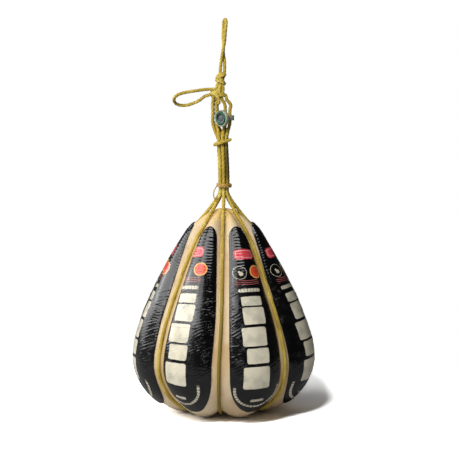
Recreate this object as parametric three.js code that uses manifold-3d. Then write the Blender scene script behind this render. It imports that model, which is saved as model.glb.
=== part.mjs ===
// A roped provolone: one big pear-shaped cheese, pressed into eight lobes by the ropes it hangs in,
// with a long film label on each lobe, and a rope harness gathered, bound, sealed and knotted above it.
// Millimetres, +Z up, standing on z = 0 with the cheese's axis on Z. The front looks along -Y.
import * as THREE from "three";
import { mergeVertices } from "three/addons/utils/BufferGeometryUtils.js";
import Module from "manifold-3d";

const wasm = await Module();
wasm.setup();

// ---------------------------------------------------------------- driving dimensions

const LOBES = 8;
const LOBE_ANGLE = (2 * Math.PI) / LOBES;

const CROWN_HEIGHT = 326; // floor to the top of the cheese
const SHOULDER = { r: 61, z: 289 }; // where the round head meets the long flank, on a lobe's crest
const BELLY = { r: 147.5, z: 92 }; // the widest level, on a lobe's crest
const FOOT_OUTER = 54; // radii between which the lobes stand on the floor
const FOOT_INNER = 38;
const FOOT_SINK = 1.5; // how far the feet are pressed flat
const HOLLOW_HEIGHT = 17; // the dimple under the cheese, where the ropes meet

// How deep the ropes press in: at the crown, shoulder, belly, outer foot, inner foot and hollow.
const GROOVE_DEPTHS = [0, 11, 8, 13, 13, 0];
const GROOVE_SHARPNESS = 0.72; // below 1 makes round lobes with a sharp valley
const CHANNEL_HALF_WIDTH = 4; // the flat floor of a valley, a little wider than the rope
const CHANNEL_WIDEST = LOBE_ANGLE / 5; // near the axis the floor narrows to this half angle
// Degrees that each rope strays from its eighth of the circle, at these places along the crest line.
const STRAY_PLACES = [0, 1, 1.5, 2, 2.5, 4];
const STRAYS = [
  [0, -0.6, -1, -2.6, -3, 0],
  [0, 2.4, -2.3, -3.2, -1, 0],
  [0, 1, 1.8, 2.2, 1, 0],
  [0, -0.8, -1.6, -1.6, -0.8, 0],
  [0, 0.6, 1.2, 1, 0.6, 0],
  [0, -1, -2.2, -2.4, -1, 0],
  [0, 0.8, 1.4, 1.6, 0.8, 0],
  [0, -2, 0.3, 1, 0.8, 0],
];

const ROPE = 5.4; // diameter of the harness rope
const TWINE = 3; // diameter of the thin tie round the gathered strands
const ROPE_REST = ROPE / 2 + 1; // from a valley's floor to the middle of its rope
const ROPE_SIDES = 8;

const LABEL_LIFT = 1; // from the cheese to the inside of a label
const LABEL_THICKNESS = 0.9;
const LABEL_TOP = 0.78; // ends of a label, as places along the crest line (see crestPoint)
const LABEL_BOTTOM = 2.58;
const LABEL_COLUMNS = 4;
const LABEL_ROUND_TOP = 0.22; // lengths of a label's two round ends, along the crest line
const LABEL_ROUND_BOTTOM = 0.5;
// How far each label's left and right edges stay from the ropes beside them, at these places along
// the crest line. No two labels are stuck on quite alike.
const EDGE_PLACES = [0.9, 1.5, 2.05, 2.5];
const LABEL_EDGES = [
  { left: [9.5, 12, 17.5, 17.5], right: [6.4, 6, 8, 7] },
  { left: [10, 5.5, 9.5, 8], right: [9, 13, 13, 16] },
  { left: [8, 12, 14, 18], right: [10, 14, 12, 15] },
  { left: [9, 13, 13, 16], right: [8, 12, 14, 17] },
  { left: [9, 12, 14, 15], right: [9, 13, 13, 18] },
  { left: [10, 13, 12, 16], right: [8, 12, 14, 15] },
  { left: [9, 13, 14, 18], right: [16.5, 12, 12, 7] },
  { left: [7.5, 10.8, 10, 16], right: [9.5, 9, 12, 12.5] },
];

const GATHER = { z: 350, r: 6.7 }; // where the strands come together above the crown
const LOWER_BINDING_Z = 361.5;
const UPPER_BINDING_Z = 430;
const SEAL_Z = 469;
const HITCH = new THREE.Vector3(-6, 2, 501.5); // the middle of its underside
const TOP_KNOT = new THREE.Vector3(-3.9, 1, 530.9);

const cheeseMaterial = new THREE.MeshStandardMaterial({ color: 0xe2cfa4, roughness: 0.5, metalness: 0 });
const labelMaterial = new THREE.MeshStandardMaterial({ color: 0x101012, roughness: 0.25, metalness: 0 });
const ropeMaterial = new THREE.MeshStandardMaterial({ color: 0xcdb142, roughness: 0.7, metalness: 0 });
const capMaterial = new THREE.MeshStandardMaterial({ color: 0x1f7a4f, roughness: 0.35, metalness: 0 });
const cupMaterial = new THREE.MeshStandardMaterial({ color: 0xb9bfae, roughness: 0.4, metalness: 0 });
const clipMaterial = new THREE.MeshStandardMaterial({ color: 0x1a1614, roughness: 0.5, metalness: 0 });

// ---------------------------------------------------------------- shapes shared by all

const smooth = (x) => x * x * (3 - 2 * x);
const rise = (x, from, to) => smooth(THREE.MathUtils.clamp((x - from) / (to - from), 0, 1));

// A value that passes smoothly through the given values at the given places.
function passing(places, values, t) {
  let next = places.findIndex((place) => place >= t);
  if (next < 0) next = places.length - 1;
  if (next === 0) return values[0];
  return THREE.MathUtils.lerp(values[next - 1], values[next], rise(t, places[next - 1], places[next]));
}

// A point at an angle round the axis, from the front towards +X.
const around = (angle, r, z) => new THREE.Vector3(r * Math.sin(angle), -r * Math.cos(angle), z);

// The crest line of a lobe, from the crown (0) past the shoulder (1), belly (2) and the two edges of
// the foot (3 and 4) to the middle of the hollow (5).
const crestPieces = [
  [[0, CROWN_HEIGHT], [24, CROWN_HEIGHT], [SHOULDER.r - 18, SHOULDER.z + 20], [SHOULDER.r, SHOULDER.z]],
  [[SHOULDER.r, SHOULDER.z], [86, 252], [BELLY.r, 146], [BELLY.r, BELLY.z]],
  [[BELLY.r, BELLY.z], [BELLY.r, 44], [100, -FOOT_SINK], [FOOT_OUTER, -FOOT_SINK]],
  [[FOOT_OUTER, -FOOT_SINK], [49, -FOOT_SINK], [43, -FOOT_SINK], [FOOT_INNER, -FOOT_SINK]],
  [[FOOT_INNER, -FOOT_SINK], [30, -FOOT_SINK], [26, HOLLOW_HEIGHT], [0, HOLLOW_HEIGHT]],
].map((points) => new THREE.CubicBezierCurve(...points.map(([r, z]) => new THREE.Vector2(r, z))));

function crestPoint(t) {
  const piece = Math.min(Math.floor(t), crestPieces.length - 1);
  const curve = crestPieces[piece];
  const point = curve.getPoint(t - piece);
  const along = curve.getTangent(t - piece);
  const depth = THREE.MathUtils.lerp(GROOVE_DEPTHS[piece], GROOVE_DEPTHS[piece + 1], smooth(t - piece));
  return { r: point.x, z: point.y, outR: -along.y, outZ: along.x, depth };
}

// The angle of a rope's valley at a place along the crest line.
function valleyAngle(valley, t) {
  const stray = passing(STRAY_PLACES, STRAYS[valley % LOBES], t);
  return valley * LOBE_ANGLE + THREE.MathUtils.degToRad(stray);
}

// A point of the cheese's skin. across runs from -1 to 1 over the lobe, between its two valley floors.
function skinPoint(lobe, t, across, lift = 0) {
  const c = crestPoint(t);
  const left = valleyAngle(lobe, t);
  const right = valleyAngle(lobe + 1, t);
  const floor = Math.min(CHANNEL_HALF_WIDTH / Math.max(c.r, 1), CHANNEL_WIDEST);
  const angle = (left + right) / 2 + across * ((right - left) / 2 - floor);
  const sunk = c.depth * (1 - Math.max(Math.cos((across * Math.PI) / 2), 0) ** GROOVE_SHARPNESS);
  return around(angle, Math.max(c.r + c.outR * (lift - sunk), 0), Math.max(c.z + c.outZ * (lift - sunk), 0));
}

const LABEL_LIMIT = 0.95; // no label reaches further down a lobe's side than this share of its half width

// How far a lobe's label reaches to its left and right at a place along the crest line, as shares of
// the lobe's half width.
function labelSpan(lobe, t) {
  const half = (crestPoint(t).r * LOBE_ANGLE) / 2;
  const share = (edge) => {
    const inset = passing(EDGE_PLACES, LABEL_EDGES[lobe][edge], t);
    return Math.min((half - inset) / (half - CHANNEL_HALF_WIDTH), LABEL_LIMIT);
  };
  return { left: -share("left"), right: share("right") };
}

// The places along the crest line where the skin has its rows; the labels share them.
const rows = [
  0.25, 0.5, LABEL_TOP, 0.83, 0.91, 1.04, 1.18, 1.34, 1.52, 1.7, 1.87, 2.02, 2.14, 2.26, 2.38, 2.5,
  LABEL_BOTTOM, 2.76, 3, 4, 4.3, 4.6,
];

// A closed body from points and triangles.
function bodyOf(points, triangles) {
  const geometry = new THREE.BufferGeometry().setFromPoints(points);
  geometry.setIndex(triangles.flat());
  return geometry;
}

// The two triangles of a four-cornered face, seen from outside in this order.
const quad = (a, b, c, d) => [[a, b, c], [a, c, d]];

// ---------------------------------------------------------------- the cheese

function cheeseBody() {
  const points = [];
  const triangles = [];
  const crown = points.push(new THREE.Vector3(0, 0, CROWN_HEIGHT)) - 1;
  const rings = rows.map((t) => {
    const ring = [];
    for (let lobe = 0; lobe < LOBES; lobe++) {
      const { left, right } = labelSpan(lobe, THREE.MathUtils.clamp(t, LABEL_TOP, LABEL_BOTTOM));
      const places = [-1];
      for (let i = 0; i <= LABEL_COLUMNS; i++) places.push(left + ((right - left) * i) / LABEL_COLUMNS);
      places.push(1);
      for (const across of places) ring.push(points.push(skinPoint(lobe, t, across)) - 1);
    }
    return ring;
  });
  const hollow = points.push(new THREE.Vector3(0, 0, HOLLOW_HEIGHT)) - 1;
  const count = rings[0].length;
  for (let i = 0; i < count; i++) {
    const next = (i + 1) % count;
    triangles.push([crown, rings[0][i], rings[0][next]]);
    for (let row = 0; row + 1 < rings.length; row++) {
      const upper = rings[row];
      const lower = rings[row + 1];
      triangles.push(...quad(upper[i], lower[i], lower[next], upper[next]));
    }
    triangles.push([hollow, rings.at(-1)[next], rings.at(-1)[i]]);
  }
  return bodyOf(points, triangles);
}

// ---------------------------------------------------------------- the labels

const END_ROUNDNESS = 2.3; // 2 is an ellipse, and more is squarer

// How much of its full width a label has near its two round ends.
function labelEnds(t) {
  const end = (distance, length) => {
    const x = THREE.MathUtils.clamp(1 - distance / length, 0, 0.985);
    return (1 - x ** END_ROUNDNESS) ** (1 / END_ROUNDNESS);
  };
  return end(t - LABEL_TOP, LABEL_ROUND_TOP) * end(LABEL_BOTTOM - t, LABEL_ROUND_BOTTOM);
}

function label(lobe) {
  const points = [];
  const triangles = [];
  const labelRows = rows.filter((t) => t >= LABEL_TOP && t <= LABEL_BOTTOM);
  const sheets = [LABEL_LIFT + LABEL_THICKNESS, LABEL_LIFT].map((lift) =>
    labelRows.map((t) => {
      const { left, right } = labelSpan(lobe, t);
      const middle = (left + right) / 2;
      const half = ((right - left) / 2) * labelEnds(t);
      const row = [];
      for (let i = 0; i <= LABEL_COLUMNS; i++) {
        row.push(points.push(skinPoint(lobe, t, middle + half * ((2 * i) / LABEL_COLUMNS - 1), lift)) - 1);
      }
      return row;
    }),
  );
  const [outer, inner] = sheets;
  const last = labelRows.length - 1;
  for (let row = 0; row < last; row++) {
    for (let i = 0; i < LABEL_COLUMNS; i++) {
      triangles.push(...quad(outer[row][i], outer[row + 1][i], outer[row + 1][i + 1], outer[row][i + 1]));
      triangles.push(...quad(inner[row][i], inner[row][i + 1], inner[row + 1][i + 1], inner[row + 1][i]));
    }
    const end = LABEL_COLUMNS;
    triangles.push(...quad(inner[row][0], inner[row + 1][0], outer[row + 1][0], outer[row][0]));
    triangles.push(...quad(outer[row][end], outer[row + 1][end], inner[row + 1][end], inner[row][end]));
  }
  for (let i = 0; i < LABEL_COLUMNS; i++) {
    triangles.push(...quad(inner[0][i], outer[0][i], outer[0][i + 1], inner[0][i + 1]));
    triangles.push(...quad(outer[last][i], inner[last][i], inner[last][i + 1], outer[last][i + 1]));
  }
  return bodyOf(points, triangles);
}

// ---------------------------------------------------------------- ropes

// A curve through stations, stepped from one station to the next, so that bends can have more of them.
class StationCurve extends THREE.Curve {
  constructor(stations) {
    super();
    this.through = new THREE.CatmullRomCurve3(stations, false, "centripetal");
  }

  getPoint(t, target) {
    return this.through.getPoint(t, target);
  }

  getPointAt(u, target) {
    return this.getPoint(u, target);
  }

  getTangentAt(u, target) {
    return this.getTangent(u, target);
  }
}

function ropeAlong(stations, diameter = ROPE) {
  const section = new THREE.Shape(
    Array.from({ length: ROPE_SIDES }, (_, i) => {
      const angle = (2 * Math.PI * i) / ROPE_SIDES;
      return new THREE.Vector2((Math.cos(angle) * diameter) / 2, (Math.sin(angle) * diameter) / 2);
    }),
  );
  return new THREE.ExtrudeGeometry(section, {
    steps: stations.length - 1,
    extrudePath: new StationCurve(stations),
    bevelEnabled: false,
  });
}

const SLACK_BELOW = 1.3; // a rope hangs this much further off the cheese's underside

// The middle of a rope lying in its valley.
function valleyPoint(valley, t) {
  const c = crestPoint(t);
  const sunk = c.depth - ROPE_REST - SLACK_BELOW * rise(t, 2.7, 3);
  return around(valleyAngle(valley, t), c.r - c.outR * sunk, c.z - c.outZ * sunk);
}

// Where a taut rope, coming down from a point above the crown, first touches its valley.
function touchPlace(valley, from) {
  let best = { t: 1, spread: 0 };
  for (let t = 0.6; t < 1.6; t += 0.01) {
    const p = valleyPoint(valley, t);
    const spread = (Math.hypot(p.x, p.y) - from.r) / (from.z - p.z);
    if (spread > best.spread) best = { t, spread };
  }
  return best.t;
}

// The gathered strands: seven round one. The strand from the back runs up the middle, and goes in
// between its neighbours just below the place where they come together.
const INNER_STRAND = LOBES / 2;
const INNER_ENTRY = { z: 340, r: 4.8 };

function bundlePlace(valley) {
  if (valley === INNER_STRAND) return new THREE.Vector2(0.2, -0.2);
  const turn = valley > INNER_STRAND ? valley - LOBES : valley;
  const angle = (turn * 2 * Math.PI) / (LOBES - 1);
  return new THREE.Vector2(GATHER.r * Math.sin(angle), -GATHER.r * Math.cos(angle));
}

// Where each strand passes the middle between the upper binding and the seal, the seal itself, the
// widest level above it and the underside of the hitch: four strands go to the right of the seal and
// four behind its left edge.
const HALFWAY = [
  [0.2, -4.2], [7, -2.6], [7.8, 3.6], [2.4, 5.6],
  [-4.6, 4.6], [-10.8, 8.8], [-13.4, 2.8], [-8, -2],
];
const PAST_THE_SEAL = [
  [3, -0.8], [10.4, -0.2], [10.6, 5.8], [3.2, 5.6],
  [-9.6, 10.4], [-16, 9.6], [-16.8, 3.2], [-10.6, 4.2],
];
const ABOVE_THE_SEAL = [
  [2.6, -1.2], [11.6, -0.4], [11.8, 5.6], [2.8, 5.6],
  [-9.8, 9.6], [-16.2, 8.6], [-17.2, 2.4], [-10.9, 3.4],
];
const INTO_THE_HITCH = [
  [-2.4, -2.6], [5, -1.8], [5.2, 4.4], [-2.2, 3.8],
  [-9.2, 7.2], [-15, 6], [-16, -0.2], [-9.9, 1],
];

const at = ([x, y], z) => new THREE.Vector3(x, y, z);
const between = (a, b, share) => [a[0] + (b[0] - a[0]) * share, a[1] + (b[1] - a[1]) * share];

const BASE_RING_RADIUS = 11;
const BASE_RING_Z = 10;

function strand(valley) {
  const inner = valley === INNER_STRAND;
  const touch = touchPlace(valley, inner ? INNER_ENTRY : GATHER);
  const ringEnd = around(valley * LOBE_ANGLE, BASE_RING_RADIUS + ROPE + 0.4, BASE_RING_Z);
  const bundle = bundlePlace(valley).toArray();
  const seal = PAST_THE_SEAL[valley];
  const above = ABOVE_THE_SEAL[valley];
  const hitch = INTO_THE_HITCH[valley];
  return ropeAlong([
    ringEnd,
    ...rows.filter((t) => t > touch + 0.06).map((t) => valleyPoint(valley, t)).reverse(),
    valleyPoint(valley, touch),
    ...(inner ? [new THREE.Vector3(0.9, INNER_ENTRY.r, INNER_ENTRY.z)] : []),
    at([bundle[0] + 0.6, bundle[1]], GATHER.z),
    at([bundle[0] + 1, bundle[1]], LOWER_BINDING_Z + 4),
    at([bundle[0] + 0.4, bundle[1]], 395),
    at([bundle[0] - 1, bundle[1]], UPPER_BINDING_Z - 5),
    at([bundle[0] - 1.4, bundle[1]], UPPER_BINDING_Z + 5),
    at(HALFWAY[valley], (UPPER_BINDING_Z + SEAL_Z) / 2),
    at(seal, SEAL_Z - 8),
    at(seal, SEAL_Z + 12),
    at(above, HITCH.z - 11.5),
    at(between(above, hitch, 0.55), HITCH.z - 6),
    at(hitch, HITCH.z - 2.6),
    at(hitch, HITCH.z - 0.4),
  ]);
}

function baseRing() {
  return new THREE.TorusGeometry(BASE_RING_RADIUS, ROPE / 2, ROPE_SIDES, 20).translate(0, 0, BASE_RING_Z);
}

// ---------------------------------------------------------------- joining and cutting

function solidOf(geometry) {
  const bare = geometry.index ? geometry.toNonIndexed() : geometry.clone();
  bare.deleteAttribute("normal");
  bare.deleteAttribute("uv");
  const merged = mergeVertices(bare, 1e-4);
  return new wasm.Manifold(
    new wasm.Mesh({
      numProp: 3,
      vertProperties: new Float32Array(merged.attributes.position.array),
      triVerts: new Uint32Array(merged.index.array),
    }),
  );
}

function geometryOf(solid) {
  const mesh = solid.getMesh();
  const geometry = new THREE.BufferGeometry();
  geometry.setAttribute("position", new THREE.BufferAttribute(Float32Array.from(mesh.vertProperties), 3));
  geometry.setIndex(new THREE.BufferAttribute(Uint32Array.from(mesh.triVerts), 1));
  return geometry;
}

const joined = (...geometries) => geometryOf(geometries.map(solidOf).reduce((all, one) => all.add(one)));

// ---------------------------------------------------------------- bindings, knots and loops

const vectors = (route) => route.map((point) => new THREE.Vector3(...point));

// A thin tie round the strands where they meet, with its loose end hanging in a small bight.
function lowerBinding() {
  const radius = GATHER.r + ROPE / 2 + 0.6 + TWINE / 2;
  const turn = new THREE.TorusGeometry(radius, TWINE / 2, ROPE_SIDES, 18)
    .rotateY(0.1)
    .translate(1, 0, LOWER_BINDING_Z);
  const bight = vectors([[-7.6, -7.9, 361.5], [-12.6, -11, 357.6], [-15.4, -13.6, 351], [-14.6, -15.4, 344.4], [-11.6, -16, 340]]);
  return joined(turn, ropeAlong(bight, TWINE * 0.8));
}

// One turn of rope, aslant, its two ends crossed over and cut short.
function upperBinding() {
  const radius = GATHER.r + ROPE / 2 + 0.7 + ROPE / 2;
  const turn = new THREE.TorusGeometry(radius, ROPE / 2, ROPE_SIDES, 18)
    .scale(1.12, 1, 1)
    .rotateY(-0.42)
    .translate(-1.2, 0, UPPER_BINDING_Z);
  const leftEnd = vectors([[-12.5, -7, 425], [-15.5, -10, 424], [-18, -11.5, 426]]);
  const rightEnd = vectors([[7, -8.5, 434], [10.5, -11, 436], [13.5, -11.5, 438]]);
  return joined(turn, ropeAlong(leftEnd), ropeAlong(rightEnd));
}

// The knot below the hanging loop: two bulges, each with a slanting turn of rope.
function topKnot() {
  const core = new THREE.SphereGeometry(1, 12, 8).scale(7, 6, 12).translate(...TOP_KNOT);
  const turn = (z, radius, tilt) =>
    new THREE.TorusGeometry(radius, ROPE / 2, ROPE_SIDES, 16)
      .scale(1, 0.9, 1)
      .rotateY(tilt)
      .translate(TOP_KNOT.x, TOP_KNOT.y, TOP_KNOT.z + z);
  return joined(core, turn(3.6, 6.9, -0.4), turn(-4.6, 6.7, 0.4));
}

// The slip hitch that gathers the strands: a shouldered body with a flat underside, a turn of rope
// across its front that ends in a cut tail, and two stubs where the bow goes in and out.
function slipHitch() {
  const profile = [[0, 0], [11.4, 0], [13, 2.6], [12.4, 6.6], [9.6, 11.6], [7.4, 14.6], [7, 16.8], [0, 16.8]];
  const body = new THREE.LatheGeometry(profile.map(([r, h]) => new THREE.Vector2(r, h)), 18)
    .rotateX(Math.PI / 2)
    .scale(1, 0.74, 1)
    .translate(...HITCH);
  const turn = vectors([
    [-18.6, 0, 509], [-17.8, -5.4, 507.8], [-12, -8.6, 505.4], [-7.6, -9.8, 501.4], [-6.8, -10, 496.4], [-6.6, -9.8, 491],
  ]);
  const upperStub = vectors([[-12, -3, 511.6], [-17, -4, 513.6], [-22, -4.4, 514.4]]);
  const lowerStub = vectors([[-12, 1, 505.8], [-17, 1.4, 505.6], [-22.2, 1.2, 505.6]]);
  return joined(body, ropeAlong(turn), ropeAlong(upperStub), ropeAlong(lowerStub));
}

// The bow: a slipped loop standing out to the left, its plane leaning back.
const BOW_ROUTE = [
  [-22.9, -4.6, 514.6], [-28, -5.6, 514.4], [-38, -7.4, 513.2], [-50, -9, 511.4], [-62, -9.6, 509.3],
  [-71, -8.6, 506.4], [-76.4, -4.6, 502], [-78, 1.4, 496.6], [-74.6, 6, 491.6], [-67.4, 8.2, 489.2],
  [-58, 8, 489.4], [-48, 6.4, 492.4], [-38, 4.6, 497], [-29.6, 2.2, 503.2], [-23.5, 1.2, 505.4],
];

// The loop that the cheese hangs by: two strands that twist a quarter turn on their way up to its eye.
const LOOP_ROUTE = [
  [-4.7, 0.6, 543.6], [-4.2, 0.2, 550], [-3, -1.2, 559.6], [-1.5, -3.4, 569], [0.2, -5.4, 578.4],
  [1.9, -7.6, 588], [2.9, -9.8, 597.4], [3.6, -11.4, 606.6], [4.5, -10.6, 615.4], [4.4, -6.4, 621.6],
  [2.9, -0.6, 623.8], [1.2, 5, 621.8], [0.4, 9.4, 615.6], [0.2, 10.2, 606.6], [-0.3, 8.8, 597.4],
  [0.5, 6.8, 588], [0.2, 5, 578.4], [0.3, 3.6, 569], [2, 2.6, 559.6], [2.2, 1.8, 550], [1.9, 1.4, 543.6],
];

// ---------------------------------------------------------------- the seal

const SEAL_RADIUS = 13.2;
const SEAL_THICKNESS = 8;
const SEAL_TURN = 0.77; // how far its face is turned to the left
const SEAL_MIDDLE = new THREE.Vector3(-1.8, -11, SEAL_Z);

// A profile turned about the seal's own axis, facing -Y and then turned to the left.
function turned(profile, sides) {
  return new THREE.LatheGeometry(profile.map(([r, h]) => new THREE.Vector2(r, h)), sides)
    .rotateX(Math.PI)
    .rotateZ(-SEAL_TURN)
    .translate(...SEAL_MIDDLE);
}

const half = SEAL_THICKNESS / 2;

// A shallow cup, open to the front, with a rolled rim.
const sealCup = () =>
  turned([[0, -half], [SEAL_RADIUS - 1.5, -half], [SEAL_RADIUS, -half + 1.5], [SEAL_RADIUS, half - 1],
    [SEAL_RADIUS - 0.8, half], [SEAL_RADIUS - 1.8, half], [SEAL_RADIUS - 2.2, half - 1.6], [0, half - 3.4]], 24);

// The pressed cap in the cup: a raised ring round a sunk middle with a low boss.
const sealCap = () =>
  turned([[0, half - 3], [SEAL_RADIUS - 2.6, half - 1.3], [SEAL_RADIUS - 3.2, half - 0.2], [SEAL_RADIUS - 5, half + 0.5],
    [SEAL_RADIUS - 7, half - 0.2], [SEAL_RADIUS - 7.6, half - 1], [3.2, half - 1.1], [2.4, half - 0.5], [0, half - 0.4]], 20);

// The strap that holds the seal: a flat band round the two outer right strands, and a bridge to the cup.
const STRAP_MIDDLE = new THREE.Vector3(10.5, 2.8, SEAL_Z + 0.6);
const STRAP_INSIDE = ROPE / 2 + 0.5;
const STRAP_WALL = 1.1;
const STRAP_HEIGHT = 7.6;

// A slot-shaped outline, long along Y, of a half width.
function slotOutline(Outline, halfWidth) {
  const outline = new Outline();
  outline.absarc(0, 3, halfWidth, 0, Math.PI, false);
  outline.absarc(0, -3, halfWidth, Math.PI, 2 * Math.PI, false);
  outline.closePath();
  return outline;
}

function sealStrap() {
  const outline = slotOutline(THREE.Shape, STRAP_INSIDE + STRAP_WALL);
  outline.holes.push(slotOutline(THREE.Path, STRAP_INSIDE));
  const band = new THREE.ExtrudeGeometry(outline, { depth: STRAP_HEIGHT, bevelEnabled: false, curveSegments: 6 })
    .translate(STRAP_MIDDLE.x, STRAP_MIDDLE.y, STRAP_MIDDLE.z - STRAP_HEIGHT / 2);
  const bridge = new THREE.BoxGeometry(3.2, 9, 5.6).rotateZ(-0.1).translate(8.8, -8, STRAP_MIDDLE.z);
  return joined(band, bridge);
}

// The dark clip pinched over the strap's outer side.
function sealClip() {
  return new THREE.BoxGeometry(1.6, 5.6, STRAP_HEIGHT + 0.6)
    .translate(STRAP_MIDDLE.x + STRAP_INSIDE + STRAP_WALL + 1.2, STRAP_MIDDLE.y - 1.6, STRAP_MIDDLE.z);
}

// ---------------------------------------------------------------- the whole

const provolone = new THREE.Group();

function place(name, geometry, material) {
  const mesh = new THREE.Mesh(geometry, material);
  mesh.name = name;
  provolone.add(mesh);
}

place("cheese", cheeseBody(), cheeseMaterial);
for (let lobe = 0; lobe < LOBES; lobe++) place(`label_${lobe + 1}`, label(lobe), labelMaterial);
for (let valley = 0; valley < LOBES; valley++) place(`strand_${valley + 1}`, strand(valley), ropeMaterial);
place("base_ring", baseRing(), ropeMaterial);
place("lower_binding", lowerBinding(), ropeMaterial);
place("upper_binding", upperBinding(), ropeMaterial);
place("slip_hitch", slipHitch(), ropeMaterial);
place("bow_loop", ropeAlong(vectors(BOW_ROUTE)), ropeMaterial);
place("top_knot", topKnot(), ropeMaterial);
place("hanging_loop", ropeAlong(vectors(LOOP_ROUTE)), ropeMaterial);
place("seal_cup", sealCup(), cupMaterial);
place("seal_cap", sealCap(), capMaterial);
place("seal_strap", sealStrap(), cupMaterial);
place("seal_clip", sealClip(), clipMaterial);

export default provolone;
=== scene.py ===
# %% [markdown]
# # A roped provolone, dressed
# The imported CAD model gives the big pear-shaped cheese, its eight film labels, the rope harness and
# the seal as plain solids. This lesson dresses them: the cheese gets its waxy rind and the beds that
# the ropes have pressed into it, the labels become thin shrunk film with real wrinkles, and every
# rope becomes a laid cord of three twisted plies.

import math

import bpy
import numpy as np
from mathutils import Matrix, Vector


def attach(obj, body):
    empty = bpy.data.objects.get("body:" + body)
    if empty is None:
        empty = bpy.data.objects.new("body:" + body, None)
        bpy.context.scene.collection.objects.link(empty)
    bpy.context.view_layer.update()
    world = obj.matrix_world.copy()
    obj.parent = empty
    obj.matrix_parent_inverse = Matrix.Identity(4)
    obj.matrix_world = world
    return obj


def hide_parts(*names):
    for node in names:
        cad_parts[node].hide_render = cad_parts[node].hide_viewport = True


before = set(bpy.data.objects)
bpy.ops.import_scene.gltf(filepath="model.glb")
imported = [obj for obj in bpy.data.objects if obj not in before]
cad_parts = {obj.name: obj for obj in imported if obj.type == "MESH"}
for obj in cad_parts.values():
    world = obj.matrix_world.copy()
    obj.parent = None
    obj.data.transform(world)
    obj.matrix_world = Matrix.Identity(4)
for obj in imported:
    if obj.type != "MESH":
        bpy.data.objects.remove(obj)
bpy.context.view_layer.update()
MM = 0.001  # the numbers below are millimetres, and meshes are made in metres
print("solids:", len(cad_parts))

# %% [markdown]
# The camera stands two metres in front, level with the top knot, and looks seven degrees down. It is
# made first, so that every later cell can be judged through it.

# %% Camera
SENSOR_WIDTH = 36
VIEW_ANGLE, LOOKS_DOWN = 20, 7  # degrees
camera = bpy.data.objects.new("camera", bpy.data.cameras.new("camera"))
camera.data.sensor_width = SENSOR_WIDTH
camera.data.lens = SENSOR_WIDTH / 2 / math.tan(math.radians(VIEW_ANGLE / 2))
camera.location = (0.00913, -2.0645, 0.5456)
camera.rotation_euler = (math.radians(90 - LOOKS_DOWN), 0, 0)
bpy.context.scene.collection.objects.link(camera)
bpy.context.scene.camera = camera
bpy.context.scene.view_settings.view_transform = "Standard"
print("lens:", round(camera.data.lens, 1), "mm")

# %% [markdown]
# Everything soft here repeats the same few things: a smooth line through stations, a mesh from
# arrays, and a random ripple that is the same on every run. The ripple is value noise on a lattice
# of seeded numbers, so a whole mesh is rippled in one go.


# %% Shared helpers
def eased(x):
    return x * x * (3 - 2 * x)


def rise(x, start, end):
    return eased(np.clip((x - start) / (end - start), 0, 1))


def ripple(points, size, seed):
    """Smooth noise from -1 to 1 at points of 1 to 3 coordinates, with lumps of that size."""
    points = np.atleast_2d(np.asarray(points, float)) / size
    if points.shape[1] < 3:
        points = np.pad(points, ((0, 0), (0, 3 - points.shape[1])), constant_values=0.37)
    lattice = np.random.default_rng(seed).uniform(-1, 1, (32, 32, 32))
    cell = np.floor(points).astype(int)
    part = eased(points - cell)
    total = np.zeros(len(points))
    for corner in np.ndindex(2, 2, 2):
        weight = np.prod(np.where(corner, part, 1 - part), axis=1)
        place = (cell + corner) % 32
        total += weight * lattice[place[:, 0], place[:, 1], place[:, 2]]
    return total


def line_through(stations, step):
    """Points step apart on a smooth line through the stations (a centripetal Catmull-Rom spline)."""
    p = np.asarray(stations, float)
    p = np.vstack([2 * p[0] - p[1], p, 2 * p[-1] - p[-2]])
    knots = np.concatenate([[0], np.cumsum(np.linalg.norm(np.diff(p, axis=0), axis=1) ** 0.5)])
    fine = []
    for i in range(1, len(p) - 2):
        t0, t1, t2, t3 = knots[i - 1 : i + 3]
        t = np.linspace(t1, t2, 24, endpoint=False)[:, None]
        a1 = p[i - 1] * (t1 - t) / (t1 - t0) + p[i] * (t - t0) / (t1 - t0)
        a2 = p[i] * (t2 - t) / (t2 - t1) + p[i + 1] * (t - t1) / (t2 - t1)
        a3 = p[i + 1] * (t3 - t) / (t3 - t2) + p[i + 2] * (t - t2) / (t3 - t2)
        b1 = a1 * (t2 - t) / (t2 - t0) + a2 * (t - t0) / (t2 - t0)
        b2 = a2 * (t3 - t) / (t3 - t1) + a3 * (t - t1) / (t3 - t1)
        fine.append(b1 * (t2 - t) / (t2 - t1) + b2 * (t - t1) / (t2 - t1))
    fine = np.vstack(fine + [p[-2]])
    along = np.concatenate([[0], np.cumsum(np.linalg.norm(np.diff(fine, axis=0), axis=1))])
    places = np.linspace(0, along[-1], max(2, round(along[-1] / step) + 1))
    return np.stack([np.interp(places, along, fine[:, k]) for k in range(3)], axis=1)


def corners_of(mesh):
    """The places of a mesh's vertices, one row for each."""
    flat = np.empty(len(mesh.vertices) * 3)
    mesh.vertices.foreach_get("co", flat)
    return flat.reshape(-1, 3)


def smooth(mesh):
    mesh.polygons.foreach_set("use_smooth", [True] * len(mesh.polygons))
    mesh.update()


def new_piece(name, points_mm, faces, uv=None):
    """A mesh object at the origin from millimetre points; uv has one pair for each face corner."""
    mesh = bpy.data.meshes.new(name)
    mesh.from_pydata([tuple(p) for p in np.asarray(points_mm) * MM], [], faces)
    if uv is not None:
        layer = mesh.uv_layers.new(name="own")
        layer.data.foreach_set("uv", np.asarray(uv, np.float32).ravel())
    smooth(mesh)
    piece = bpy.data.objects.new(name, mesh)
    bpy.context.scene.collection.objects.link(piece)
    return piece


def only(piece):
    """Selects that object alone, because an operator acts on all that is selected."""
    bpy.ops.object.select_all(action="DESELECT")
    piece.select_set(True)
    bpy.context.view_layer.objects.active = piece


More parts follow.
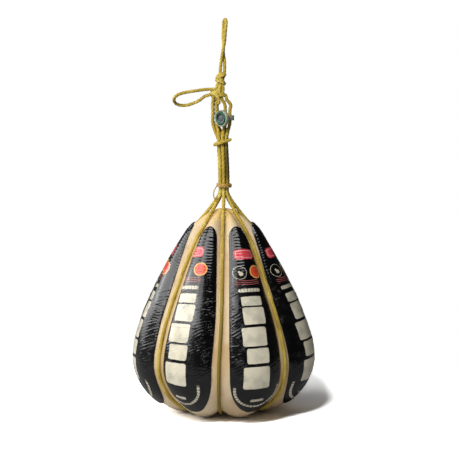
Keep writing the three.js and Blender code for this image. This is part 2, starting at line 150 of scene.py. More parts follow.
def stands_for(piece, node):
    """The piece moves with the cheese and replaces that solid, which is hidden."""
    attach(piece, "root")
    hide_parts(node)


# %% [markdown]
# A laid rope is three plies twisted round each other, and each ply is many yarns twisted the other
# way, so that the yarns end up lying almost along the rope. The plies could be three tubes, but a
# single tube whose section has three lobes, turned steadily on its way along the line, has the same
# outline for a third of the faces. Its own UV map runs once round the rope and, in metres, along
# it, and carries the yarns and the dark seams between the plies in the material.


# %% The rope maker
ROPE = 5.4
PITCH = 21.0  # length in which a ply goes once round the rope
PLY_CENTRE = 0.3  # of the rope's radius: how far each ply's middle lies from the rope's
PLY_WAXED = 0.13  # the same where the rope is bedded in wax, which fills the dips
SWELL, SWELL_LENGTH = 0.035, 9  # how much thicker and thinner a rope gets, and over what length
ACROSS_ANY_ROPE = np.array([0.31, -0.86, 0.4])  # a direction in which no rope starts


def transported(path):
    """Tangents and a pair of cross directions that don't spin along the path."""
    tangents = np.gradient(path, axis=0)
    tangents /= np.linalg.norm(tangents, axis=1)[:, None]
    sides = []
    side = ACROSS_ANY_ROPE
    for tangent in tangents:
        side = side - tangent * (side @ tangent)
        side /= np.linalg.norm(side)
        sides.append(side)
    sides = np.array(sides)
    return sides, np.cross(tangents, sides)


def rope_arrays(path, diameter, sides=18, pitch=PITCH, taper=0.0, phase=0.0, ply=PLY_CENTRE):
    """Points, faces and face-corner UVs of a three-ply rope along the path, closed at both ends.

    taper is the length at each end over which the rope is rounded off."""
    count = len(path)
    along = np.concatenate([[0], np.cumsum(np.linalg.norm(np.diff(path, axis=0), axis=1))])
    first, second = transported(path)
    angles = 2 * np.pi * np.arange(sides) / sides
    turned = angles[None, :] - 2 * np.pi * along[:, None] / pitch + phase
    nearest = (turned + np.pi / 3) % (2 * np.pi / 3) - np.pi / 3
    ply = np.broadcast_to(ply, count)[:, None]
    section = ply * np.cos(nearest) + np.sqrt((1 - ply) ** 2 - (ply * np.sin(nearest)) ** 2)
    swell = 1 + SWELL * ripple(np.stack([along, along * 0 + phase * 50], 1), SWELL_LENGTH, 5)[:, None]
    radius = diameter / 2 * section * swell
    if taper:
        ends = np.minimum(along, along[-1] - along)[:, None]
        radius = radius * np.sqrt(np.clip(1 - (1 - np.clip(ends / taper, 0, 1)) ** 2, 0.04, 1))
    ring = radius[:, :, None] * (
        np.cos(angles)[None, :, None] * first[:, None] + np.sin(angles)[None, :, None] * second[:, None]
    )
    points = (path[:, None] + ring).reshape(-1, 3)
    row, column = np.meshgrid(np.arange(count - 1), np.arange(sides), indexing="ij")
    right = (column + 1) % sides
    quads = np.stack(
        [row * sides + column, row * sides + right, (row + 1) * sides + right, (row + 1) * sides + column],
        axis=-1,
    ).reshape(-1, 4)
    u0, u1 = column / sides, (column + 1) / sides
    v0, v1 = along[row] * MM, along[row + 1] * MM
    corner_uv = np.stack([u0, v0, u1, v0, u1, v1, u0, v1], axis=-1).reshape(-1, 2)
    start, end = len(points), len(points) + 1
    points = np.vstack([points, path[0], path[-1]])
    last = (count - 1) * sides
    caps, cap_uv = [], []
    for i in range(sides):
        j = (i + 1) % sides
        caps += [(start, j, i), (end, last + i, last + j)]
        cap_uv += [(0.5, 0), (j / sides, 0), (i / sides, 0)]
        cap_uv += [(0.5, along[-1] * MM), (i / sides, along[-1] * MM), (j / sides, along[-1] * MM)]
    faces = [tuple(q) for q in quads] + caps
    return points, faces, np.vstack([corner_uv, cap_uv])


def rope_piece(name, lines):
    """One object from ropes given as (path, diameter) or (path, diameter, options)."""
    points, faces, uvs = [], [], []
    for path, diameter, *options in lines:
        p, f, uv = rope_arrays(path, diameter, **(options[0] if options else {}))
        start = sum(len(q) for q in points)
        faces += [tuple(i + start for i in face) for face in f]
        points.append(p)
        uvs.append(uv)
    return new_piece(name, np.vstack(points), faces, np.vstack(uvs))


# %% [markdown]
# Two ropes are free in the air and so are cords: the slipped bow that stands out of the hitch, and
# the loop that the cheese hangs by. Their routes are the CAD model's own, so each lies where its
# solid is, and both go on for a few millimetres into the knot that holds them. The bow's rope is
# stiff with wax, and the hanging loop is held up taut.

# %% The two free cords
BOW_ROUTE = [
    [-22.9, -4.6, 514.6], [-28, -5.6, 514.4], [-38, -7.4, 513.2], [-50, -9, 511.4], [-62, -9.6, 509.3],
    [-71, -8.6, 506.4], [-76.4, -4.6, 502], [-78, 1.4, 496.6], [-74.6, 6, 491.6], [-67.4, 8.2, 489.2],
    [-58, 8, 489.4], [-48, 6.4, 492.4], [-38, 4.6, 497], [-29.6, 2.2, 503.2], [-23.5, 1.2, 505.4],
]
BOW_ENDS = [[-12, -3, 515.2], [-17, -4, 514.8]], [[-18, 1.2, 506.6], [-13, 1.6, 507.4]]
LOOP_ROUTE = [
    [-4.7, 0.6, 543.6], [-4.2, 0.2, 550], [-3, -1.2, 559.6], [-1.5, -3.4, 569], [0.2, -5.4, 578.4],
    [1.9, -7.6, 588], [2.9, -9.8, 597.4], [3.6, -11.4, 606.6], [4.5, -10.6, 615.4], [4.4, -6.4, 621.6],
    [2.9, -0.6, 623.8], [1.2, 5, 621.8], [0.4, 9.4, 615.6], [0.2, 10.2, 606.6], [-0.3, 8.8, 597.4],
    [0.5, 6.8, 588], [0.2, 5, 578.4], [0.3, 3.6, 569], [2, 2.6, 559.6], [2.2, 1.8, 550], [1.9, 1.4, 543.6],
]
LOOP_ENDS = [[-4.2, 1, 533], [-4.6, 0.8, 538.6]], [[1.2, 1.4, 538.6], [0.4, 1.4, 533]]


def free_cord(name, node, route, ends):
    path = line_through([*ends[0], *route, *ends[1]], 1.1)
    piece = rope_piece(name, [(path, ROPE)])
    stands_for(piece, node)
    return piece


bow = free_cord("bow_rope", "bow_loop", BOW_ROUTE, BOW_ENDS)
hanger = free_cord("hanging_rope", "hanging_loop", LOOP_ROUTE, LOOP_ENDS)

# %% [markdown]
# The cheese is one pear-shaped body pressed into eight lobes. A curve in the plane of a lobe's crest
# gives its outline, and each point of the skin lies on that curve, sunk towards the nearest rope.
# These are the CAD model's own numbers and formula, repeated in whole arrays at a time, so that the
# fine skin here and the plain solid are the same shape.

# %% The shape of the cheese
LOBES = 8
LOBE_ANGLE = 2 * math.pi / LOBES
CROWN, HOLLOW = 326, 17  # heights of the two poles
# The crest line in five stretches from the crown to the hollow underneath, each a Bezier curve of
# four (radius, height) points. A place t on it is the stretch's number and the share of it passed.
CREST = np.array([
    [[0, 326], [24, 326], [43, 309], [61, 289]],
    [[61, 289], [86, 252], [147.5, 146], [147.5, 92]],
    [[147.5, 92], [147.5, 44], [100, -1.5], [54, -1.5]],
    [[54, -1.5], [49, -1.5], [43, -1.5], [38, -1.5]],
    [[38, -1.5], [30, -1.5], [26, 17], [0, 17]],
], float)
GROOVES = np.array([0, 11, 8, 13, 13, 0], float)  # how deep the grooves are where stretches meet
SHARPNESS = 0.72  # under 1, a lobe is flatter on its crest and steeper at its ropes than a cosine
CHANNEL = 4  # half the width of the flat floor of a groove
# Where along the crest line, and by how many degrees, each rope strays from its even place.
STRAY_PLACES = [0, 1, 1.5, 2, 2.5, 4]
STRAYS = [
    [0, -0.6, -1, -2.6, -3, 0], [0, 2.4, -2.3, -3.2, -1, 0], [0, 1, 1.8, 2.2, 1, 0],
    [0, -0.8, -1.6, -1.6, -0.8, 0], [0, 0.6, 1.2, 1, 0.6, 0], [0, -1, -2.2, -2.4, -1, 0],
    [0, 0.8, 1.4, 1.6, 0.8, 0], [0, -2, 0.3, 1, 0.8, 0],
]


def passing(places, values, t):
    """A value that passes smoothly through the given values at the given places."""
    t = np.clip(t, places[0], places[-1])
    i = np.clip(np.searchsorted(places, t, side="right") - 1, 0, len(places) - 2)
    places, values = np.asarray(places, float), np.asarray(values, float)
    return values[i] + (values[i + 1] - values[i]) * eased((t - places[i]) / (places[i + 1] - places[i]))


def crest(t):
    """Radius, height, outward direction (radial, upward) and groove depth along the crest line."""
    t = np.asarray(t, float)
    i = np.clip(np.floor(t).astype(int), 0, 4)
    u = (t - i)[..., None]
    p = CREST[i]
    point = (1 - u) ** 3 * p[..., 0, :] + 3 * (1 - u) ** 2 * u * p[..., 1, :]
    point = point + 3 * (1 - u) * u**2 * p[..., 2, :] + u**3 * p[..., 3, :]
    run = (1 - u) ** 2 * (p[..., 1, :] - p[..., 0, :]) + 2 * (1 - u) * u * (p[..., 2, :] - p[..., 1, :])
    run = run + u**2 * (p[..., 3, :] - p[..., 2, :])
    run = run / np.linalg.norm(run, axis=-1)[..., None]
    depth = GROOVES[i] + (GROOVES[i + 1] - GROOVES[i]) * eased(t - i)
    # In the hollow underneath, a groove sinks straight up: square to the skin, it would fold over.
    out_r, out_z = np.where(t > 4, 0, -run[..., 1]), np.where(t > 4, -1, run[..., 0])
    return point[..., 0], point[..., 1], out_r, out_z, depth


def valley_angle(valley, t):
    return valley * LOBE_ANGLE + np.radians(passing(STRAY_PLACES, STRAYS[valley % LOBES], t))


def around(angle, r, z):
    """Points at that angle, radius and height, with angle 0 at the front."""
    return np.stack([r * np.sin(angle), -r * np.cos(angle), np.broadcast_to(z, np.shape(r))], axis=-1)


def channel_angle(r):
    """Half the angle that a groove's flat floor takes up, at most a fifth of a lobe."""
    return np.minimum(CHANNEL / np.maximum(r, 1), LOBE_ANGLE / 5)


def skin(lobe, t, across, lift=0.0, channel=0.0):
    """Points of the skin. channel runs from -1 to 1 out of the lobe's edge to the middle of a rope."""
    r, z, out_r, out_z, depth = crest(t)
    left, right = valley_angle(lobe, t), valley_angle(lobe + 1, t)
    floor = channel_angle(r)
    angle = (left + right) / 2 + across * ((right - left) / 2 - floor) + channel * floor
    sunk = depth * (1 - np.maximum(np.cos(across * np.pi / 2), 0) ** SHARPNESS)
    outward = lift - sunk
    return around(angle, np.maximum(r + out_r * outward, 0), np.maximum(z + out_z * outward, 0))


print("grooves at the ropes:", GROOVES, "mm deep")

# %% [markdown]
# The skin is a UV sphere whose rings and segments are laid on the crest line and across the lobes:
# sculpting eight lobes by hand would never match the ropes, and a sphere keeps both poles closed.
# The segments crowd together near the ropes, where the rind is pressed into a round bed with a small
# rim of wax on each side. Slow lumps and dents keep the lobes from looking turned on a lathe.

# %% The rind
EDGE_TO_CREST = np.array([
    1, 0.978, 0.955, 0.925, 0.885, 0.835, 0.775, 0.7, 0.62, 0.53, 0.44, 0.35, 0.26, 0.17, 0.085,
])
ACROSS = np.concatenate([-EDGE_TO_CREST, [0], EDGE_TO_CREST[::-1]])
BED = np.array([-1, -0.66, -0.33])  # from the rope's middle to the edge of its channel
COLUMNS = [(-1.0, b) for b in BED] + [(a, 0.0) for a in ACROSS] + [(1.0, -b) for b in BED[:0:-1]]
RINGS = 232
POLE_GAP = 2.1  # from each pole to the ring nearest it
CUP_RADIUS, CUP_EDGE, CUP_LIFT, CUP_TOP = 3.05, 2.95, 1.15, 2.2  # of the round bed under a rope
RIM_HEIGHT, RIM_WAVE, RIM_WIDTH = 1.1, 0.9, 3.2  # of the wax beside it: least height, and what waves add
LUMPS = [(0.55, 34, 1), (0.28, 15, 2), (0.1, 6, 3)]  # height, size and seed of the skin's unevenness
SHRUNK = 0.3  # how far the skin lies under the solid's, to leave room for its lumps


def crest_lengths(t):
    r, z = crest(t)[:2]
    return np.concatenate([[0], np.cumsum(np.hypot(np.diff(r), np.diff(z)))])


def ring_places():
    """Places along the crest line that are evenly spaced in millimetres."""
    fine = np.linspace(0, 4.999, 4000)
    along = crest_lengths(fine)
    return np.interp(np.linspace(POLE_GAP, along[-1] - POLE_GAP, RINGS), along, fine)


def bed_relief(beside, run, valley_seed):
    """Height in millimetres over a valley's flat floor, at a distance beside the rope's middle."""
    beside = np.abs(beside)
    cup = CUP_LIFT + CUP_RADIUS - np.sqrt(np.maximum(CUP_RADIUS**2 - np.minimum(beside, 2.9) ** 2, 0))
    wave = 0.5 + 0.5 * ripple(np.stack([run, run * 0 + valley_seed * 40], 1), 13, 11)
    rim = (RIM_HEIGHT + RIM_WAVE * wave) * np.exp(-((np.maximum(beside - 3.0, 0) / RIM_WIDTH) ** 2))
    return np.where(beside < CUP_EDGE, np.minimum(cup, CUP_TOP), rim + 0.15 * np.exp(-beside / 3))


def rind_points():
    """The skin's points, ring by ring, and how near to a rope each is, from 0 to 1."""
    places = ring_places()
    t = places[:, None]
    run = crest_lengths(places)
    r, _, out_r, out_z, _ = crest(t)
    floor = channel_angle(r)
    across, channel = np.array(COLUMNS).T[:, None, :]
    rows = []
    beds = []
    for lobe in range(LOBES):
        points = skin(lobe, t, across, 0.0, channel)
        width = (valley_angle(lobe + 1, t) - valley_angle(lobe, t)) / 2
        middle_angle = across * (width - floor) + channel * floor
        beside = r * (width - np.abs(middle_angle))
        seed = np.where(middle_angle < 0, lobe, (lobe + 1) % LOBES)
        runs = np.broadcast_to(run[:, None], beside.shape)
        relief = bed_relief(beside.ravel(), runs.ravel(), seed.ravel()).reshape(beside.shape)
        relief = relief * rise(t, 0.55, 1.0) * (1 - rise(t, 3.6, 4.4))
        direction = middle_angle + valley_angle(lobe, t) + width
        out = np.stack([
            out_r * np.sin(direction), -out_r * np.cos(direction), np.broadcast_to(out_z, direction.shape),
        ], axis=-1)
        rows.append((points, relief, out))
        beds.append(np.exp(-np.maximum(beside - 2.5, 0) / 5) * rise(t, 0.3, 0.9))
    points, relief, out = (np.concatenate(parts, axis=1) for parts in zip(*rows))
    flat = points.reshape(-1, 3)
    lumps = sum(height * ripple(flat, size, seed) for height, size, seed in LUMPS)
    lumps = lumps.reshape(relief.shape) * rise(t, 0, 0.15) * (1 - rise(t, 2.7, 3.0))
    points = points + out * (relief + lumps - SHRUNK)[..., None]
    points[..., 2] = np.maximum(points[..., 2], 0)
    return points, np.concatenate(beds, axis=1)


def rind():
    points, beds = rind_points()
    segments = points.shape[1]
    bpy.ops.object.select_all(action="DESELECT")
    bpy.ops.mesh.primitive_uv_sphere_add(segments=segments, ring_count=RINGS + 1, radius=1)
    piece = bpy.context.object
    piece.name = piece.data.name = "provolone_body"
    mesh = piece.data
    ball = corners_of(mesh)
    ring = np.round(np.arccos(np.clip(ball[:, 2], -1, 1)) / np.pi * (RINGS + 1)).astype(int) - 1
    turn = (np.arctan2(ball[:, 1], ball[:, 0]) + np.pi / 2) / (2 * np.pi) * segments
    column = np.round(turn).astype(int) % segments
    placed = points[np.clip(ring, 0, RINGS - 1), column]
    placed[ring < 0] = (0, 0, CROWN - SHRUNK)
    placed[ring >= RINGS] = (0, 0, HOLLOW + SHRUNK)
    mesh.vertices.foreach_set("co", (placed * MM).ravel())
    near_rope = mesh.attributes.new("near_rope", "FLOAT", "POINT")
    near_rope.data.foreach_set("value", beds[np.clip(ring, 0, RINGS - 1), column].astype(np.float32))
    smooth(mesh)
    return piece


body = rind()
stands_for(body, "cheese")
print("rind:", len(body.data.polygons), "faces")

# %% [markdown]
# The harness is eight strands. Each starts at the ring under the cheese, lies in its valley up to
# the shoulder, leaves it where a straight pull to the gathering would, and runs up through the
# bindings and past the seal into the hitch. The stations repeat the CAD model's.

# %% The eight strands
ROPE_REST = ROPE / 2 + 1  # from a groove's floor to the middle line of the rope in it
BASE_RING_R, BASE_RING_Z = 11, 10
HOOK_R = 1.04 * ROPE  # from the ring's middle line to that of a strand hooked over it
HOOK_ANGLES = np.radians([15, 55, 90, 125])
GATHER_Z, GATHER_R = 350, 6.7
LOWER_BINDING_Z, UPPER_BINDING_Z, SEAL_Z = 361.5, 430, 469
HITCH = np.array([-6.0, 2.0, 501.5])
INNER = LOBES // 2  # the strand that runs inside the bundle, with the other seven round it
INNER_ENTRY_Z, INNER_ENTRY_R = 340, 4.8
# Where each strand passes, as x and y in the planes between the upper binding and the hitch.
HALFWAY = [
    [0.2, -4.2], [7, -2.6], [7.8, 3.6], [2.4, 5.6], [-4.6, 4.6], [-10.8, 8.8], [-13.4, 2.8], [-8, -2],
]
PAST_THE_SEAL = [
    [3, -0.8], [10.4, -0.2], [10.6, 5.8], [3.2, 5.6], [-9.6, 10.4], [-16, 9.6], [-16.8, 3.2], [-10.6, 4.2],
]
ABOVE_THE_SEAL = [
    [2.6, -1.2], [11.6, -0.4], [11.8, 5.6], [2.8, 5.6], [-9.8, 9.6], [-16.2, 8.6], [-17.2, 2.4], [-10.9, 3.4],
]
INTO_THE_HITCH = [
    [-2.4, -2.6], [5, -1.8], [5.2, 4.4], [-2.2, 3.8], [-9.2, 7.2], [-15, 6], [-16, -0.2], [-9.9, 1],
]


def valley_point(valley, t):
    """A point of a rope's middle line in its valley. Under the foot the rope lies a little deeper."""
    r, z, out_r, out_z, depth = crest(t)
    sunk = depth - ROPE_REST - 1.3 * rise(np.asarray(t, float), 2.7, 3)
    return around(valley_angle(valley, t), r - out_r * sunk, z - out_z * sunk)


def touch_place(valley, r, z):
    """Where a taut rope from that radius and height first touches its valley."""
    t = np.arange(0.6, 1.6, 0.01)
    p = valley_point(valley, t)
    return float(t[np.argmax((np.hypot(p[:, 0], p[:, 1]) - r) / (z - p[:, 2]))])


def strand_line(valley):
    """The middle line of one strand, from the ring underneath up into the hitch."""
    inner = valley == INNER
    touch = touch_place(valley, INNER_ENTRY_R if inner else GATHER_R, INNER_ENTRY_Z if inner else GATHER_Z)
    turn = (valley - LOBES if valley > INNER else valley) * 2 * math.pi / (LOBES - 1)
    bundle = np.array([0.2, -0.2]) if inner else GATHER_R * np.array([math.sin(turn), -math.cos(turn)])
    seal, above = PAST_THE_SEAL[valley], np.array(ABOVE_THE_SEAL[valley])
    hitch = np.array(INTO_THE_HITCH[valley])
    hook = [
        around(valley * LOBE_ANGLE, BASE_RING_R - HOOK_R * math.cos(a), BASE_RING_Z - HOOK_R * math.sin(a))
        for a in HOOK_ANGLES
    ]
    bed = [valley_point(valley, t) for t in np.arange(4.6, touch + 0.05, -0.045)]

    def at(xy, z, dx=0.0):
        return np.array([xy[0] + dx, xy[1], z])

    stations = [*hook, *bed, valley_point(valley, touch)]
    if inner:
        stations.append(np.array([0.9, INNER_ENTRY_R, INNER_ENTRY_Z]))
    stations += [
        at(bundle, GATHER_Z, 0.6), at(bundle, LOWER_BINDING_Z + 4, 1), at(bundle, 395, 0.4),
        at(bundle, UPPER_BINDING_Z - 5, -1), at(bundle, UPPER_BINDING_Z + 5, -1.4),
        at(HALFWAY[valley], (UPPER_BINDING_Z + SEAL_Z) / 2), at(seal, SEAL_Z - 8), at(seal, SEAL_Z + 12),
        at(above, HITCH[2] - 11.5), at(above + (hitch - above) * 0.55, HITCH[2] - 6),
        at(hitch, HITCH[2] - 2.6), at(hitch, HITCH[2] - 0.4),
        at(hitch * 0.85 + HITCH[:2] * 0.15, HITCH[2] + 4),
    ]
    return line_through(stations, 1.25)


strands = []
for valley in range(LOBES):
    line = strand_line(valley)
    ply = PLY_WAXED + (PLY_CENTRE - PLY_WAXED) * rise(line[:, 2], 280, 325)
    piece = rope_piece(f"harness_strand_{valley + 1}", [(line, ROPE, {"phase": valley * 0.8, "ply": ply})])
    stands_for(piece, f"strand_{valley + 1}")
    strands.append(piece)
print("strand faces:", [len(s.data.polygons) for s in strands])

# %% [markdown]
# Under the cheese the strands are hooked over a small ring of the same rope. It is a closed loop, so
# its line ends where it began. The maker of such turns also makes those of the bindings and knots.


# %% The ring underneath
def ring_line(centre, radius, tilt=0.0, stretch=1.0, start=0.0, turns=1.0, climb=0.0, step=1.1):
    """A turn of rope round Z, tilted about Y, that may be stretched along X and climb as it goes."""
    count = max(16, round(2 * math.pi * radius * turns / step))
    a = start + np.linspace(0, 2 * math.pi * turns, count + 1)
    height = climb * np.linspace(0, 1, count + 1)
    p = np.stack([radius * stretch * np.cos(a), radius * np.sin(a), height], axis=1)
    c, s = math.cos(tilt), math.sin(tilt)
    turned = np.stack([p[:, 0] * c + p[:, 2] * s, p[:, 1], -p[:, 0] * s + p[:, 2] * c], axis=1)
    return turned + np.asarray(centre, float)


base_ring = rope_piece("base_rope_ring", [(ring_line((0, 0, BASE_RING_Z), BASE_RING_R), ROPE)])
stands_for(base_ring, "base_ring")
print("ring:", len(base_ring.data.polygons), "faces")

# %% [markdown]
# Each label is a sheet of printed film, shrunk on with heat. It hugs the cheese, its two ends are
# round, and where the cheese narrows the film had too much width and crept into ridges. A grid
# becomes the sheet, and the ridges are real: tight ones across the top, fine slanting ones at the
# sides, and rings that follow the round bottom. The middle of the sheet stands slightly out, and
# Solidify gives it its thickness. The UV map is the film's own, in decimetres from its middle and its
# top, so print and creases lie on the film.

# %% Label outlines
LABEL_TOP, LABEL_BOTTOM = 0.78, 2.58  # places along the crest line
TOP_ROUND, BOTTOM_ROUND = 0.22, 0.5  # how much of that line each round end takes
ROUNDNESS = 2.3  # 2 would make the ends elliptic; above it they are fuller
# How far the left and the right edge of each label lie from the ropes, at four places.
EDGE_PLACES = [0.9, 1.5, 2.05, 2.5]
LABEL_EDGES = [
    ([9.5, 12, 17.5, 17.5], [6.4, 6, 8, 7]), ([10, 5.5, 9.5, 8], [9, 13, 13, 16]),
    ([8, 12, 14, 18], [10, 14, 12, 15]), ([9, 13, 13, 16], [8, 12, 14, 17]),
    ([9, 12, 14, 15], [9, 13, 13, 18]), ([10, 13, 12, 16], [8, 12, 14, 15]),
    ([9, 13, 14, 18], [16.5, 12, 12, 7]), ([7.5, 10.8, 10, 16], [9.5, 9, 12, 12.5]),
]
LABEL_GRID = (64, 420)  # faces across and along


def label_span(lobe, t):
    """The left and the right edge of a label, as shares of the lobe's half width."""
    half = crest(t)[0] * LOBE_ANGLE / 2
    reach = [
        np.minimum((half - passing(EDGE_PLACES, insets, t)) / (half - CHANNEL), 0.95)
        for insets in LABEL_EDGES[lobe]
    ]
    return -reach[0], reach[1]


def label_ends(t):
    """The share of its full width that a label has near its two round ends."""
    def end(distance, length):
        x = np.clip(1 - distance / length, 0, 1)
        return np.maximum(1 - x**ROUNDNESS, 0) ** (1 / ROUNDNESS)

    return end(t - LABEL_TOP, TOP_ROUND) * end(LABEL_BOTTOM - t, BOTTOM_ROUND)


print("each label:", LABEL_GRID[0] * LABEL_GRID[1], "faces before it gets its thickness")

# %% Label creases
# Height and spacing of each kind of ridge. The last are thin straight folds, and have a thickness.
TIGHT, FAINT, SLOW, SLANTED, RINGS_BELOW = (0.25, 4.9), (0.04, 2.9), (0.1, 4.6), (0.5, 4.6), (0.2, 4.4)
FOLD, FOLD_THICKNESS = 0.45, 0.55
FOLD_LINES = [112, 140.5, 168.5, 196, 241]  # how far down they lie
DENTS, DENT_SIZE = 0.7, 24
SLANT = math.radians(25)
ROUND_FROM = 262  # how far down the middle lies that the rings at the bottom go round


def waves(kind, place, phase=0.0):
    height, spacing = kind
    return height * np.sin(2 * np.pi * place / spacing + phase)


def film_ridges(u, v, seed):
    """Height of the shrunk film's ridges, for places u across and v down from the top, in mm."""
    flat = np.stack([u, v], 1)
    # Tight ridges across the top, in patches.
    warp = 3.6 * ripple(flat, 30, seed) + 1.3 * ripple(flat, 10, seed + 1)
    patches = 0.5 + 0.5 * ripple(flat, 16, seed + 2)
    tight = (1 - rise(v, 58, 100)) * (0.45 + 0.55 * patches)
    height = (waves(TIGHT, v + warp + 0.05 * u) + waves(FAINT, v + warp * 1.5, 1)) * tight
    # Slow waves down the sides, and the fine slanting ridges over them.
    aside = rise(np.abs(u), 8, 26)
    slow = waves(SLOW, v + 1.6 * warp - 0.1 * u)
    height += slow * rise(v, 70, 105) * (1 - rise(v, 250, 270)) * (0.2 + 0.8 * aside) * patches
    along = math.cos(SLANT) * u - math.sin(SLANT) * v
    beside = math.sin(SLANT) * u + math.cos(SLANT) * v
    drift = 1.6 * ripple(np.stack([along / 22, beside / 14], 1), 1, seed + 9)
    crests = SLANTED[0] * (0.5 + 0.5 * waves((1, SLANTED[1]), beside + drift)) ** 3
    broken = rise(ripple(np.stack([along / 13, beside / 5], 1), 1, seed + 3), -0.25, 0.35)
    height += crests * broken * rise(v, 84, 120) * (1 - rise(v, 255, 275)) * (0.15 + 0.85 * aside)
    # Rings round the bottom end, thin folds straight across, and slow dents everywhere.
    rings = waves(RINGS_BELOW, np.hypot(u, np.maximum(v - ROUND_FROM, 0)) + 0.5 * warp)
    height += rings * rise(v, ROUND_FROM, ROUND_FROM + 20)
    for i, place in enumerate(FOLD_LINES):
        fold = np.exp(-(((v - place - 1.2 * ripple(flat, 40, seed + 5)) / FOLD_THICKNESS) ** 2))
        height += FOLD * fold * rise(ripple(flat, 26, seed + 6 + i), -0.1, 0.2)
    return height + DENTS * ripple(flat, DENT_SIZE, seed + 4)


print("thin folds on each label:", len(FOLD_LINES))


# %% Labels
PILLOW = 0.07  # how far the middle of a label stands out, for each mm of its half width
EDGE_LIFT, INNER_LIFT = 0.55, 0.75  # height over the skin at the edge, and what is added further in
LEAST_LIFT = 0.3
FILM_THICK = 0.35


def film_label(lobe):
    columns, rows = LABEL_GRID
    bpy.ops.object.select_all(action="DESELECT")
    bpy.ops.mesh.primitive_grid_add(x_subdivisions=columns, y_subdivisions=rows, size=2)
    piece = bpy.context.object
    piece.name = piece.data.name = f"film_label_{lobe + 1}"
    mesh = piece.data
    x, y, _ = corners_of(mesh).T
    fine = np.linspace(LABEL_TOP, LABEL_BOTTOM, 1500)
    along = crest_lengths(fine)
    v = (1 - y) / 2 * along[-1]
    t = np.clip(np.interp(v, along, fine), LABEL_TOP + 1e-4, LABEL_BOTTOM - 1e-4)
    left, right = label_span(lobe, t)
    ragged = 0.006 * ripple(np.stack([v, np.sign(x) * 70.0], 1), 4, 30 + lobe)
    half = (right - left) / 2 * (label_ends(t) + ragged * rise(np.abs(x), 0.6, 1))
    across = (left + right) / 2 + half * x
    width = crest(t)[0] * LOBE_ANGLE / 2 - CHANNEL
    u = (across - (left + right) / 2) * width
    edge = np.minimum(np.abs(half) * width * (1 - np.abs(x)), np.minimum(v, along[-1] - v))
    held = rise(edge, 0, 4)
    lift = EDGE_LIFT + INNER_LIFT * held + film_ridges(u, v, 100 + 10 * lobe) * (0.06 + 0.94 * held)
    lift += PILLOW * np.abs(half) * width * (1 - x**2)
    points = skin(lobe, t, across, np.maximum(lift, LEAST_LIFT))
    mesh.vertices.foreach_set("co", (points * MM).ravel())
    corner = np.empty(len(mesh.loops), np.int64)
    mesh.loops.foreach_get("vertex_index", corner)
    layer = mesh.uv_layers.active
    layer.name = "own"
    layer.data.foreach_set("uv", (np.stack([u, v], 1)[corner] / 100).astype(np.float32).ravel())
    smooth(mesh)
    only(piece)
    bpy.ops.object.mode_set(mode="EDIT")
    bpy.ops.mesh.select_all(action="SELECT")
    bpy.ops.mesh.normals_make_consistent(inside=False)
    bpy.ops.object.mode_set(mode="OBJECT")
    middle = mesh.polygons[len(mesh.polygons) // 2]
    outward = Vector((middle.center.x, middle.center.y, 0)).dot(middle.normal) > 0
    solid = piece.modifiers.new("thickness", "SOLIDIFY")
    solid.thickness = FILM_THICK * MM
    solid.offset = -1 if outward else 1
    bpy.ops.object.modifier_apply(modifier="thickness")
    return piece


labels = []
for lobe in range(LOBES):
    piece = film_label(lobe)
    stands_for(piece, f"label_{lobe + 1}")
    labels.append(piece)
print("label faces:", [len(s.data.polygons) for s in labels])

# %% [markdown]
# The bindings and knots are turns of rope round the strands. A real knot is one rope, but only its
# outer turns show, so each knot is a few turns laid over a core that fills its middle.

# %% Bindings
TWINE, TWINE_PITCH = 2.3, 9.0
lower_turns = ring_line((1, 0, 360.2), 11.2, 0.1, 1.0, 2.4, 2.9, 5.0, 0.8)
lower_bight = line_through([
    [-9.4, -6.4, 362.4], [-12.6, -10.4, 358.6], [-15.2, -13.2, 352], [-14.8, -15.2, 345],
    [-12.2, -15.6, 341.2], [-10.4, -13.6, 343.2], [-9.6, -11.4, 347],
], 0.8)
lower = rope_piece("lower_tie", [
    (lower_turns, TWINE, {"sides": 12, "pitch": TWINE_PITCH}),
    (lower_bight, 2.0, {"sides": 12, "pitch": 8.0, "taper": 2.0}),
])
stands_for(lower, "lower_binding")

upper_turn = ring_line((-1.2, 0, 431.4), 11.7, -0.3, 1.06)
upper_left = line_through([
    [-8, -9.6, 429], [-11, -10.6, 427.6], [-13.4, -11.4, 427.2], [-15.8, -11.8, 428.2],
], 1)
upper_right = line_through([[3, -11.8, 432.6], [7, -12.4, 434.2], [10.4, -12.4, 435.6], [13.2, -12, 437]], 1)
upper = rope_piece("upper_tie", [
    (upper_turn, ROPE * 0.95),
    (upper_left, ROPE * 0.8, {"taper": 1.6}),
    (upper_right, ROPE * 0.85, {"taper": 1.6}),
])
stands_for(upper, "upper_binding")
print("bindings:", len(lower.data.polygons) + len(upper.data.polygons), "faces")


# %% Knots
def core(stations, diameter):
    """A thick rounded filling for the middle of a knot."""
    return (line_through(stations, 1.2), diameter, {"taper": diameter / 2, "pitch": 60.0, "sides": 24})


def turns(*stations):
    return (line_through(stations, 1.0), ROPE)


